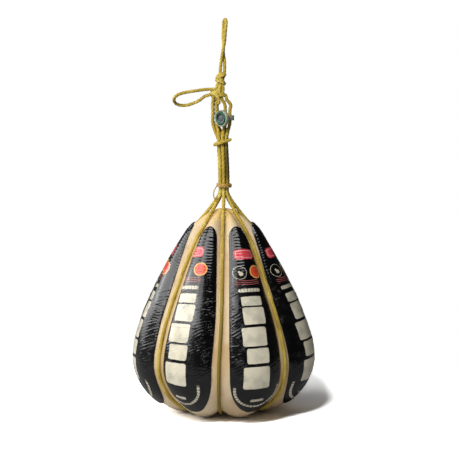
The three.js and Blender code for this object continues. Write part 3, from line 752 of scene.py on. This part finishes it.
hitch = rope_piece("slip_hitch_knot", [
    core([[-6.4, 2, 500], [-6.4, 2, 507], [-5.8, 1.6, 513], [-5.2, 1.2, 520]], 13.0),
    (ring_line((-8.2, 1.5, 508.6), 7.4, 0.28, 1.32, 0.6), ROPE),
    (ring_line((-6.6, 1.5, 504.4), 7.8, -0.1, 1.3, 2.0), ROPE),
    (line_through([
        [-18.6, 0, 509], [-17.8, -5.4, 508.4], [-12, -9.2, 506.4], [-8, -10.4, 502], [-6.9, -10.4, 496.6],
        [-6.5, -9.8, 490.8],
    ], 1), ROPE, {"taper": 2.0}),
    turns([-12.5, -2, 504], [-11.2, -2.6, 511], [-10.6, -2.4, 517], [-8.4, -1, 524]),
    turns([-6.4, -4.6, 504], [-6, -4.8, 511], [-5.4, -4, 517], [-4.4, -2, 524]),
    turns([0.6, -2.6, 503.5], [-0.6, -3, 510], [-0.2, -2.2, 517], [-1.2, -0.6, 524]),
    turns([-9, 5, 504], [-8.4, 4.8, 511], [-8, 4.4, 517], [-6.6, 3.4, 524]),
    turns([-1, 5.4, 504], [-1.8, 5, 511], [-2.4, 4.4, 517], [-2.6, 3.4, 524]),
])
stands_for(hitch, "slip_hitch")

knot = rope_piece("top_knot_turns", [
    core([[-4.6, 1, 520], [-4, 1, 526], [-3.9, 1, 532], [-3.4, 1, 537], [-2.6, 1, 541.6]], 11.6),
    (ring_line((-3.6, 1, 534.8), 6.2, -0.42, 1.12, 1.0), ROPE),
    (ring_line((-4.2, 1, 526.2), 6.1, 0.42, 1.12, 2.0), ROPE),
    (ring_line((-3.9, 1, 530.6), 6.2, 0.85, 1.1, 0.4), ROPE),
])
stands_for(knot, "top_knot")
print("knots:", len(hitch.data.polygons) + len(knot.data.polygons), "faces")

# %% [markdown]
# The seal is a milky plastic cup with a pressed green cap in it, strapped to the outer strands by a
# small band with a dark clip. Both round pieces are profiles spun about the seal's axis: the profile
# is drawn as a chain of points, and the spin operator turns it once round.

# %% The seal
SEAL_MIDDLE = np.array([-1.8, -11.0, SEAL_Z])
SEAL_TURN = 0.77  # how far the seal looks to the left of the front, in radians
SEAL_AXIS = np.array([-math.sin(SEAL_TURN), -math.cos(SEAL_TURN), 0.0])
SPIN_STEPS = 64


def spun(name, profile):
    """A profile of (radius, height along the axis) pairs, spun into a closed piece."""
    mesh = bpy.data.meshes.new(name)
    points = [tuple((SEAL_MIDDLE + SEAL_AXIS * h + np.array([0, 0, r])) * MM) for r, h in profile]
    mesh.from_pydata(points, [(i, i + 1) for i in range(len(points) - 1)], [])
    piece = bpy.data.objects.new(name, mesh)
    bpy.context.scene.collection.objects.link(piece)
    only(piece)
    bpy.ops.object.mode_set(mode="EDIT")
    bpy.ops.mesh.select_all(action="SELECT")
    bpy.ops.mesh.spin(
        steps=SPIN_STEPS, angle=2 * math.pi, center=tuple(SEAL_MIDDLE * MM), axis=tuple(SEAL_AXIS),
    )
    bpy.ops.mesh.select_all(action="SELECT")
    bpy.ops.mesh.remove_doubles(threshold=1e-6)
    bpy.ops.mesh.normals_make_consistent(inside=False)
    bpy.ops.object.mode_set(mode="OBJECT")
    smooth(mesh)
    return piece


cup = spun("seal_shell_cup", [
    (0, -4.0), (8, -4.0), (11.2, -4.0), (12.3, -3.6), (13.0, -2.8), (13.2, -2.0), (13.2, 1.6), (13.1, 2.7),
    (12.75, 3.5), (12.2, 3.9), (11.6, 3.85), (11.2, 3.4), (11.0, 2.6), (10.9, 1.2), (10.6, 0.7), (0, 0.6),
])
cap = spun("seal_pressed_cap", [
    (0, 1.0), (10.3, 1.2), (10.75, 1.8), (10.7, 2.9), (10.3, 3.7), (9.6, 4.25), (8.7, 4.45), (7.8, 4.2),
    (7.1, 3.5), (6.75, 2.8), (6.4, 2.45), (4.2, 2.35), (3.9, 2.5), (3.5, 2.95), (3.0, 3.1), (1.5, 3.05),
    (0, 3.1),
])
stands_for(cup, "seal_cup")
stands_for(cap, "seal_cap")
print("seal:", len(cup.data.polygons) + len(cap.data.polygons), "faces")

# %% [markdown]
# The strap goes round the two outer right strands and reaches the cup by a short bridge. The CAD
# outline is right, so the bridge and the band are boxes and a slot-shaped loop with rounded edges.

# %% Strap and clip
STRAP_MIDDLE = np.array([10.5, 2.8, SEAL_Z + 0.6])
STRAP_INSIDE, STRAP_WALL, STRAP_HEIGHT = ROPE / 2 + 0.5, 1.1, 7.6
STRAP_REACH = 3  # from the strap's middle to that of each strand in it
BRIDGE_MIDDLE, BRIDGE_SIZE, BRIDGE_TURN = np.array([8.8, -8, STRAP_MIDDLE[2]]), (3.2, 9, 5.6), -0.1
CLIP_MIDDLE, CLIP_SIZE = STRAP_MIDDLE + [STRAP_INSIDE + STRAP_WALL + 1.2, -1.6, 0], (2.2, 5.6, 8.2)
SHARP = 0.6  # edges that turn further than this, in radians, stay sharp in the shading


def slot_loop(radius):
    """Two half circles, one round each of the two strands, joined by straight sides."""
    a = np.linspace(0, math.pi, 14)
    top = np.stack([radius * np.cos(a), STRAP_REACH + radius * np.sin(a)], 1)
    return np.vstack([top, -top])


def box_at(middle, size, turn=0.0):
    bpy.ops.object.select_all(action="DESELECT")
    bpy.ops.mesh.primitive_cube_add(size=1, location=tuple(middle * MM), rotation=(0, 0, turn))
    piece = bpy.context.object
    piece.scale = [side * MM for side in size]
    bpy.ops.object.transform_apply(location=True, rotation=True, scale=True)
    return piece


def round_edges(piece, width):
    bevel = piece.modifiers.new("edges", "BEVEL")
    bevel.width, bevel.segments, bevel.limit_method = width * MM, 3, "ANGLE"
    only(piece)
    bpy.ops.object.modifier_apply(modifier="edges")
    bpy.ops.object.shade_smooth_by_angle(angle=SHARP)


def seal_strap():
    inner, outer = slot_loop(STRAP_INSIDE), slot_loop(STRAP_INSIDE + STRAP_WALL)
    count = len(inner)
    rings = []
    for outline, z in ((outer, -1), (outer, 1), (inner, 1), (inner, -1)):
        rings.append(np.column_stack([outline, np.full(count, z * STRAP_HEIGHT / 2)]) + STRAP_MIDDLE)
    faces = []
    for ring in range(4):
        for i in range(count):
            j = (i + 1) % count
            a, b = ring * count, (ring + 1) % 4 * count
            faces.append((a + i, a + j, b + j, b + i))
    piece = new_piece("seal_shell_strap", np.vstack(rings), faces)
    box_at(BRIDGE_MIDDLE, BRIDGE_SIZE, BRIDGE_TURN)
    piece.select_set(True)
    bpy.context.view_layer.objects.active = piece
    bpy.ops.object.join()
    round_edges(piece, 0.35)
    return piece


def seal_clip():
    piece = box_at(CLIP_MIDDLE, CLIP_SIZE)
    piece.name = piece.data.name = "seal_pinch_clip"
    round_edges(piece, 0.45)
    return piece


strap, clip = seal_strap(), seal_clip()
stands_for(strap, "seal_strap")
stands_for(clip, "seal_clip")
print("strap and clip:", len(strap.data.polygons) + len(clip.data.polygons), "faces")

# %% [markdown]
# Materials are written as arithmetic. A Wire wraps one output of a node, and adding or multiplying
# wires adds Math nodes; the Finish class makes a material and every other kind of node.


# %% Shader arithmetic
class Wire:
    def __init__(self, finish, socket):
        self.finish, self.socket = finish, socket

    def math(self, operation, *values):
        return self.finish.node("ShaderNodeMath", {"operation": operation}, dict(enumerate(values)))

    def __add__(self, other): return self.math("ADD", self, other)
    def __radd__(self, other): return self.math("ADD", other, self)
    def __sub__(self, other): return self.math("SUBTRACT", self, other)
    def __rsub__(self, other): return self.math("SUBTRACT", other, self)
    def __mul__(self, other): return self.math("MULTIPLY", self, other)
    def __rmul__(self, other): return self.math("MULTIPLY", other, self)
    def __truediv__(self, other): return self.math("DIVIDE", self, other)
    def __pow__(self, other): return self.math("POWER", self, other)
    def __abs__(self): return self.math("ABSOLUTE", self)
    def most(self, other): return self.math("MAXIMUM", self, other)
    def sine(self): return self.math("SINE", self)
    def part(self): return self.math("FRACT", self)

    def step(self, start, end):
        """0 below start and 1 above end, smooth between; the other way round if end is lower."""
        low, high = (0.0, 1.0) if start < end else (1.0, 0.0)
        return self.finish.node("ShaderNodeMapRange", {"interpolation_type": "SMOOTHSTEP"}, {
            "Value": self, "From Min": min(start, end), "From Max": max(start, end),
            "To Min": low, "To Max": high,
        })


class Finish:
    """A material whose surface is one Principled shader."""

    def __init__(self, name, **constants):
        self.material = bpy.data.materials.new(name)
        self.material.use_nodes = True
        self.tree = self.material.node_tree
        self.tree.nodes.clear()
        output = self.tree.nodes.new("ShaderNodeOutputMaterial")
        self.surface = self.tree.nodes.new("ShaderNodeBsdfPrincipled")
        self.tree.links.new(self.surface.outputs[0], output.inputs["Surface"])
        for socket, value in constants.items():
            self.surface.inputs[socket.replace("_", " ")].default_value = value

    def node(self, kind, settings, sockets, out=0):
        """A new node with those settings, its sockets fed by wires or values. Gives one output."""
        made = self.tree.nodes.new(kind)
        for setting, value in settings.items():
            setattr(made, setting, value)
        for socket, value in sockets.items():
            self.plug(value, made.inputs[socket])
        return Wire(self, made.outputs[out])

    def plug(self, value, socket):
        if isinstance(value, Wire):
            self.tree.links.new(value.socket, socket)
        elif isinstance(value, tuple) and len(value) == 3 and socket.type == "RGBA":
            socket.default_value = (*value, 1)
        else:
            socket.default_value = value

    def feed(self, **values):
        for socket, value in values.items():
            self.plug(value, self.surface.inputs[socket.replace("_", " ")])
        return self.material

    def mix(self, a, b, share):
        return self.node("ShaderNodeMix", {"data_type": "RGBA"}, {0: share, 6: a, 7: b}, 2)

    def place(self):
        return self.node("ShaderNodeTexCoord", {}, {}, "Object")

    def split(self, at):
        """The three coordinates of a vector."""
        made = self.node("ShaderNodeSeparateXYZ", {}, {0: at}).socket.node
        return [Wire(self, output) for output in made.outputs]

    def own(self):
        """The two coordinates of the piece's own UV map, and both as one vector."""
        both = self.node("ShaderNodeUVMap", {"uv_map": "own"}, {})
        u, v, _ = self.split(both)
        return u, v, both

    def vector(self, x, y, z=0.0):
        return self.node("ShaderNodeCombineXYZ", {}, {0: x, 1: y, 2: z})

    def noise(self, at, scale, detail=2.0, rough=0.5, warp=0.0):
        return self.node("ShaderNodeTexNoise", {}, {
            "Vector": at, "Scale": scale, "Detail": detail, "Roughness": rough, "Distortion": warp,
        })

    def bump(self, height, distance):
        return self.node("ShaderNodeBump", {}, {"Height": height, "Distance": distance})


def rgb(r, g, b):
    """A display colour from 0 to 255 as linear light."""
    shares = (r / 255, g / 255, b / 255)
    return tuple(c / 12.92 if c <= 0.04045 else ((c + 0.055) / 1.055) ** 2.4 for c in shares)


print("white is", rgb(255, 255, 255), "as linear light")

# %% [markdown]
# The rind is pale cream with drier tan patches. Wax has run along the ropes and taken some of their
# yellow, which the near_rope attribute of the mesh marks, and the crown is yellower too. The surface
# is a soft, slightly greasy gloss with fine pores.

# %% Rind finish
def rind_finish():
    f = Finish("waxed_rind", IOR=1.45)
    at = f.place()
    _, _, height = f.split(at)
    near = f.node("ShaderNodeAttribute", {"attribute_name": "near_rope"}, {}, "Fac")
    slow, mid, fine = f.noise(at, 14, 3), f.noise(at, 60, 3, 0.6), f.noise(at, 420, 3, 0.6)
    colour = f.mix(rgb(202, 183, 152), rgb(182, 156, 120), slow.step(0.38, 0.68))
    colour = f.mix(colour, rgb(168, 136, 98), mid.step(0.55, 0.75) * 0.4)
    colour = f.mix(colour, rgb(196, 158, 92), near * 0.5 + near * slow * 0.3)
    crown = height.step((CROWN - 30) * MM, CROWN * MM)
    colour = f.mix(colour, rgb(214, 180, 102), crown * 0.85)
    colour = f.mix(colour, rgb(150, 118, 78), (fine * mid).step(0.34, 0.46) * 0.3)
    pores = f.bump(fine * 0.5 + mid * 0.8, 0.0006)
    return f.feed(Base_Color=colour, Roughness=0.38 + 0.25 * mid, Normal=pores)


# %% [markdown]
# Rope: golden, with the dark seam between the plies where the twisted section dips, and yarns that
# run along each ply. Handling and wax leave some lengths paler and some browner. Two places get
# painted shade: low down, most on the ropes in the front and back folds, and the right of the bundle.

# %% Rope finish
FOLD_SHADE_PAINT = rgb(100, 84, 24)  # painted shade low down, strongest on the ropes in the front and back folds
BUNDLE_SHADE_PAINT = rgb(44, 31, 11)  # painted shade on the right side of the gathered bundle
ROPE_TONES = (rgb(226, 206, 108), rgb(194, 166, 54), rgb(98, 78, 20))  # pale, golden and brown
TWINE_TONES = (rgb(206, 176, 104), rgb(186, 146, 66), rgb(110, 84, 36))


def rope_finish(name, tones, turns_per_metre, yarns):
    f = Finish(name)
    u, v, _ = f.own()
    at = f.place()
    ply = (u * 3 - v * (3 * turns_per_metre) + 100.0).part()
    seam = abs(ply - 0.5).step(0.34, 0.5)
    yarn = ((u * yarns + v * 95.0 + f.noise(at, 300, 2) * 0.8) * (2 * math.pi)).sine() * 0.5 + 0.5
    patch, speck = f.noise(at, 45, 3, 0.6), f.noise(at, 900, 2, 0.6)
    pale, gold, brown = tones
    colour = f.mix(gold, pale, patch.step(0.45, 0.75) * 0.8)
    colour = f.mix(colour, brown, (1 - patch).step(0.52, 0.8) * 0.55)
    colour = f.mix(colour, brown, seam * 0.25)
    right, _, height = f.split(at)
    # Painted shade: darker below 0.3 m, strongest on the ropes near x = 0, in the front and back folds.
    fold_shade_share = 0.15 + 0.85 * abs(right).step(0.035, 0.02)
    colour = f.mix(colour, FOLD_SHADE_PAINT, height.step(0.3, 0.12) * (0.5 + 0.5 * patch) * fold_shade_share)
    # Painted shade on the right of the gathered bundle, from about 0.37 to 0.43 m up.
    bundle_shade_share = height.step(0.36, 0.38) * height.step(0.44, 0.415) * right.step(0.0005, 0.005)
    colour = f.mix(colour, BUNDLE_SHADE_PAINT, bundle_shade_share * (0.6 + 0.4 * patch))
    colour = f.mix(colour, brown, (1 - yarn) * 0.22 + speck.step(0.55, 0.8) * 0.25)
    relief = f.bump(yarn * 0.6 + speck * 0.5, 0.00035)
    return f.feed(Base_Color=colour, Roughness=0.55 + 0.25 * speck, Normal=relief)


# %% [markdown]
# The film is nearly black and glossy. Its print is plain fields: a red badge, a thin ring and a
# gold-edged disc, fine red lines, small pale bars, five large pale blocks in a column and an arc of
# short dashes at the round end. Each field is a distance formula on the film's own UV map, so it
# stays sharp at any size.

# %% Film finish
PALE = rgb(210, 202, 180)
BLOCKS = [(0, 150.6, 36, 26.5), (-3.6, 182.6, 39, 28.6), (-0.4, 211.6, 36, 22.6), (-3.2, 244.6, 42, 34)]


def film_finish(lobe, aside, down, has_ring=1.0):
    """The film of one label, with its print that many millimetres aside and down from its place."""
    f = Finish(f"label_film_{lobe + 1}", IOR=1.6)
    u, v, film = f.own()
    at = f.place()
    wander = f.noise(film, 9, 2)
    x, y = u * 100 - aside + (wander - 0.5) * 1.6, v * 100 - down + (wander - 0.5) * 1.2

    def field(cx, cy, width, height, corner):
        """1 inside a box with round corners, in millimetres of the film, and 0 outside it."""
        dx = (abs(x - cx) - (width / 2 - corner)).most(0.0)
        dy = (abs(y - cy) - (height / 2 - corner)).most(0.0)
        return ((dx * dx + dy * dy) ** 0.5 - corner).step(0.35, -0.35)

    def far(cx, cy):
        dx, dy = x - cx, y - cy
        return (dx * dx + dy * dy) ** 0.5

    colour = f.mix(rgb(4, 4, 5), rgb(10, 10, 12), f.noise(film, 6, 3).step(0.4, 0.7))
    badge = field(-0.5, 51, 31, 17, 5)
    badge_line = field(-0.5, 51, 27, 12.5, 4) - field(-0.5, 51, 25.4, 10.9, 3.4)
    colour = f.mix(colour, f.mix(rgb(196, 66, 74), rgb(232, 186, 182), badge_line * 0.8), badge)
    ring = far(-12.5, 81)
    drop = far(-11, 83).step(3.6, 2.9).most(far(-13.4, 79.6).step(2.2, 1.6))
    colour = f.mix(colour, PALE, (abs(ring - 10.4).step(0.6, 0.15) * 0.75).most(drop * 0.8) * has_ring)
    disc = far(14.5, 80)
    colour = f.mix(colour, rgb(226, 168, 92), disc.step(11.3, 10.6))
    colour = f.mix(colour, rgb(206, 70, 44), disc.step(9.4, 8.8))
    colour = f.mix(colour, rgb(224, 120, 78), abs(disc - 5.4).step(0.6, 0.2) * 0.6)
    bent = y + 0.006 * x * x
    lines = abs((bent / 3.1).part() - 0.5).step(0.2, 0.1) * field(-1, 97.5, 40, 9, 2)
    colour = f.mix(colour, rgb(176, 96, 92), lines * 0.75)
    small = field(-1, 110.2, 36, 5.6, 2) * abs((x / 5.2).part() - 0.5).step(0.47, 0.4)
    small = small.most(field(0, 284.5, 21, 5, 1.6) * abs((x / 4.2).part() - 0.5).step(0.46, 0.38))
    colour = f.mix(colour, PALE, small * 0.85)
    blocks = field(-0.6, 127.4, 34, 14.6, 2.2)
    for block in BLOCKS:
        blocks = blocks.most(field(*block, 3.2))
    worn = f.noise(at, 700, 3, 0.7).step(0.6, 0.8)
    block_colour = f.mix(PALE, rgb(184, 180, 160), f.noise(film, 5, 2).step(0.4, 0.7))
    colour = f.mix(colour, block_colour, blocks * (0.97 - 0.2 * worn))
    turn = x.math("ARCTAN2", y - ROUND_FROM, x)
    dashes = abs(far(0, ROUND_FROM) - 36.5).step(2.4, 1.9) * y.step(258, 264)
    dashes = dashes * abs((turn * 6.5).part() - 0.5).step(0.42, 0.34)
    colour = f.mix(colour, PALE, dashes * 0.8)
    slant = f.vector(u * 6.0 - v * 2.8, u * 11.0 + v * 24.0)
    strain, nick = f.noise(slant, 1.3, 3, 0.55, 0.4), f.noise(slant, 1.0, 2, 0.5, 0.3)
    nicks = abs(nick - 0.5).step(0.02, 0.0) * f.noise(film, 7, 2).step(0.45, 0.6) * v.step(0.9, 1.2)
    relief = f.bump(strain * 0.4 + nicks * 0.3, 0.0005)
    smears = f.noise(film, 16, 4, 0.65)
    return f.feed(Base_Color=colour, Roughness=0.1 + 0.12 * smears.step(0.35, 0.75), Normal=relief)


# %% [markdown]
# The seal's shell is a milky plastic that lets a little light into itself, its cap a hard green one
# with a pale waxy bloom in the sunk middle, and the clip plain black.

# %% Seal finishes
SUNK_MIDDLE = (0.0068, 0.0056)  # distances from the axis between which the bloom comes in, in metres


def seal_finishes():
    f = Finish("milky_shell", IOR=1.46, Subsurface_Weight=0.25, Subsurface_Scale=0.002)
    at = f.place()
    cloud = f.noise(at, 140, 3, 0.6)
    shell_finish = f.feed(
        Base_Color=f.mix(rgb(120, 132, 108), rgb(168, 172, 146), cloud.step(0.35, 0.7)),
        Roughness=0.34 + 0.2 * cloud, Normal=f.bump(f.noise(at, 500, 2), 0.0003),
    )
    f = Finish("pressed_green", IOR=1.5)
    at = f.place()
    # Distance from the seal's axis, in metres, from the part of the place that lies across it.
    arm = f.node("ShaderNodeVectorMath", {"operation": "SUBTRACT"}, {0: at, 1: tuple(SEAL_MIDDLE * MM)})
    off = f.node("ShaderNodeVectorMath", {"operation": "CROSS_PRODUCT"}, {0: arm, 1: tuple(SEAL_AXIS)})
    away = f.node("ShaderNodeVectorMath", {"operation": "LENGTH"}, {0: off}, "Value")
    cloud = f.noise(at, 180, 3, 0.6)
    green = f.mix(rgb(2, 44, 36), rgb(8, 84, 60), cloud.step(0.4, 0.7))
    bloom = f.mix(rgb(72, 70, 82), rgb(92, 92, 44), f.noise(at, 110, 2).step(0.4, 0.6))
    pressed = away.step(*SUNK_MIDDLE)
    cap_finish = f.feed(
        Base_Color=f.mix(green, bloom, pressed * 0.85), Roughness=0.2 + 0.25 * cloud,
        Normal=f.bump(f.noise(at, 420, 3), 0.0005),
    )
    f = Finish("dark_clip")
    at = f.place()
    clip_finish = f.feed(
        Base_Color=f.mix(rgb(22, 18, 18), rgb(44, 36, 34), f.noise(at, 300, 2)),
        Roughness=0.35 + 0.2 * f.noise(at, 800, 2),
    )
    return shell_finish, cap_finish, clip_finish


# %% [markdown]
# Every piece now gets its material. The ropes share one, and each label has its own, because its
# print was shrunk on a little aside or down from its place. The ring doesn't show on the last one.

# %% Put the finishes on
def wear(piece, material):
    piece.data.materials.clear()
    piece.data.materials.append(material)


# How far aside and down the print of each label lies, and for the last also that it has no ring.
PRINT_PLACES = [(0, 0), (3, 3), (-6, 2), (4, -3), (-2, 1), (7, 4), (-16, 3), (-13, -4, 0.0)]
wear(body, rind_finish())
rope_material = rope_finish("golden_rope", ROPE_TONES, 1000 / PITCH, 26)
twine_material = rope_finish("pale_twine", TWINE_TONES, 1000 / TWINE_PITCH, 10)
for piece in [bow, hanger, base_ring, upper, hitch, knot, *strands]:
    wear(piece, rope_material)
wear(lower, twine_material)
for lobe, piece in enumerate(labels):
    wear(piece, film_finish(lobe, *PRINT_PLACES[lobe]))
shell_material, cap_material, clip_material = seal_finishes()
wear(cup, shell_material)
wear(strap, shell_material)
wear(cap, cap_material)
wear(clip, clip_material)
print("materials:", len(bpy.data.materials))

# %% [markdown]
# The floor is a plain white sheet. The camera sees it over-lit, as on a studio table, and it fades
# into the white room beyond. The cheese is lit by an ordinary white floor and mirrors a darker one.

# %% Floor
FLOOR_RADIUS, FLOOR_BELOW = 0.8, 0.0004  # just under the foot, so that they don't share a plane
FLOOR_GAIN, FADE_START, FADE_END = 2.2, 0.32, 0.55
WHITE, OFF_WHITE, SEEN_IN_GLOSS = (0.8, 0.8, 0.8), (0.76, 0.76, 0.76), (0.25, 0.25, 0.25)
bpy.ops.object.select_all(action="DESELECT")
bpy.ops.mesh.primitive_circle_add(vertices=96, radius=FLOOR_RADIUS, fill_type="NGON", location=(0, 0, 0))
floor = bpy.context.object
floor.name = "floor"
floor.data.transform(Matrix.Translation((0, 0, -FLOOR_BELOW)))
f = Finish("white_floor")
seen = f.node("ShaderNodeLightPath", {}, {}, "Is Camera Ray")
mirrored = f.node("ShaderNodeLightPath", {}, {}, "Is Glossy Ray")
from_middle = f.node("ShaderNodeVectorMath", {"operation": "LENGTH"}, {0: f.place()}, "Value")
white = f.mix(WHITE, OFF_WHITE, f.noise(f.place(), 3, 2))
plain = f.node("ShaderNodeBsdfDiffuse", {}, {"Color": f.mix(white, SEEN_IN_GLOSS, mirrored)})
lit = f.node("ShaderNodeBsdfDiffuse", {}, {"Color": (FLOOR_GAIN,) * 3})
clear = f.node("ShaderNodeBsdfTransparent", {}, {})
shown = f.node("ShaderNodeMixShader", {}, {0: from_middle.step(FADE_START, FADE_END), 1: lit, 2: clear})
both = f.node("ShaderNodeMixShader", {}, {0: seen, 1: plain, 2: shown})
output = next(n for n in f.tree.nodes if n.type == "OUTPUT_MATERIAL")
f.tree.links.new(both.socket, output.inputs["Surface"])
f.tree.nodes.remove(f.surface)
wear(floor, f.material)
print("floor:", FLOOR_RADIUS, "m in radius")

# %% [markdown]
# The key is a small lamp high in front, a little to the left, and makes the shadow. Gloss doesn't
# show it. A wide window at the left, a low light far left and a small one at the front left draw the
# streaks on the film and the ropes, and the light overhead makes gloss alone. A faint light from
# behind, which gloss doesn't show either, keeps the back from going black.

# %% Lights
LIT_HEIGHT = 0.2  # of the point that every light looks at


def softbox(name, azimuth, elevation, distance, size, power):
    """A rectangular light that looks at the cheese, with azimuth 0 in front and 90 at the right."""
    light = bpy.data.lights.new(name, "AREA")
    light.shape, light.size, light.size_y, light.energy = "RECTANGLE", *size, power
    lamp = bpy.data.objects.new(name, light)
    a, e = math.radians(azimuth), math.radians(elevation)
    back = Vector((math.sin(a) * math.cos(e), -math.cos(a) * math.cos(e), math.sin(e)))
    lamp.location = Vector((0, 0, LIT_HEIGHT)) + back * distance
    lamp.rotation_euler = back.to_track_quat("Z", "Y").to_euler()
    bpy.context.scene.collection.objects.link(lamp)
    return lamp


key = softbox("key", -16, 46, 2.5, (0.3, 0.3), 46)
key.visible_glossy = False
softbox("left_window", -78, 35, 1.4, (2.3, 0.75), 18)
softbox("far_left", -112, 13, 1.4, (0.9, 0.5), 3.5)
back_fill = softbox("back_fill", -165, 12, 1.8, (1.2, 0.8), 6)
back_fill.visible_glossy = False
overhead = softbox("overhead", -12, 70, 1.3, (1.3, 0.62), 11)
overhead.visible_diffuse = False
softbox("front_left", -28, 38, 1.6, (0.66, 0.6), 3.4)
print("lights:", len(bpy.data.lights))

# %% [markdown]
# The camera sees a white room. For light and gloss it is brighter at the left and dim at the right,
# which keeps the right side of each glossy label dark.

# %% Room
ROOM_DIM, ROOM_BRIGHT = 0.03, 0.24  # strengths, from the right to the far left
world = bpy.data.worlds.new("room")
bpy.context.scene.world = world
world.use_nodes = True
tree = world.node_tree
tree.nodes.clear()
backdrop, room = tree.nodes.new("ShaderNodeBackground"), tree.nodes.new("ShaderNodeBackground")
backdrop.inputs["Color"].default_value = (1, 1, 1, 1)
seen = tree.nodes.new("ShaderNodeLightPath")
where = tree.nodes.new("ShaderNodeTexCoord")
parts = tree.nodes.new("ShaderNodeSeparateXYZ")
ramp = tree.nodes.new("ShaderNodeMapRange")
blend = tree.nodes.new("ShaderNodeMixShader")
sky = tree.nodes.new("ShaderNodeOutputWorld")
ramp.inputs["From Min"].default_value, ramp.inputs["From Max"].default_value = 0.2, -1.0
ramp.inputs["To Min"].default_value, ramp.inputs["To Max"].default_value = ROOM_DIM, ROOM_BRIGHT
tree.links.new(where.outputs["Generated"], parts.inputs[0])
tree.links.new(parts.outputs[0], ramp.inputs["Value"])
tree.links.new(ramp.outputs[0], room.inputs["Strength"])
tree.links.new(seen.outputs["Is Camera Ray"], blend.inputs[0])
tree.links.new(room.outputs[0], blend.inputs[1])
tree.links.new(backdrop.outputs[0], blend.inputs[2])
tree.links.new(blend.outputs[0], sky.inputs["Surface"])
print("room nodes:", len(tree.nodes))
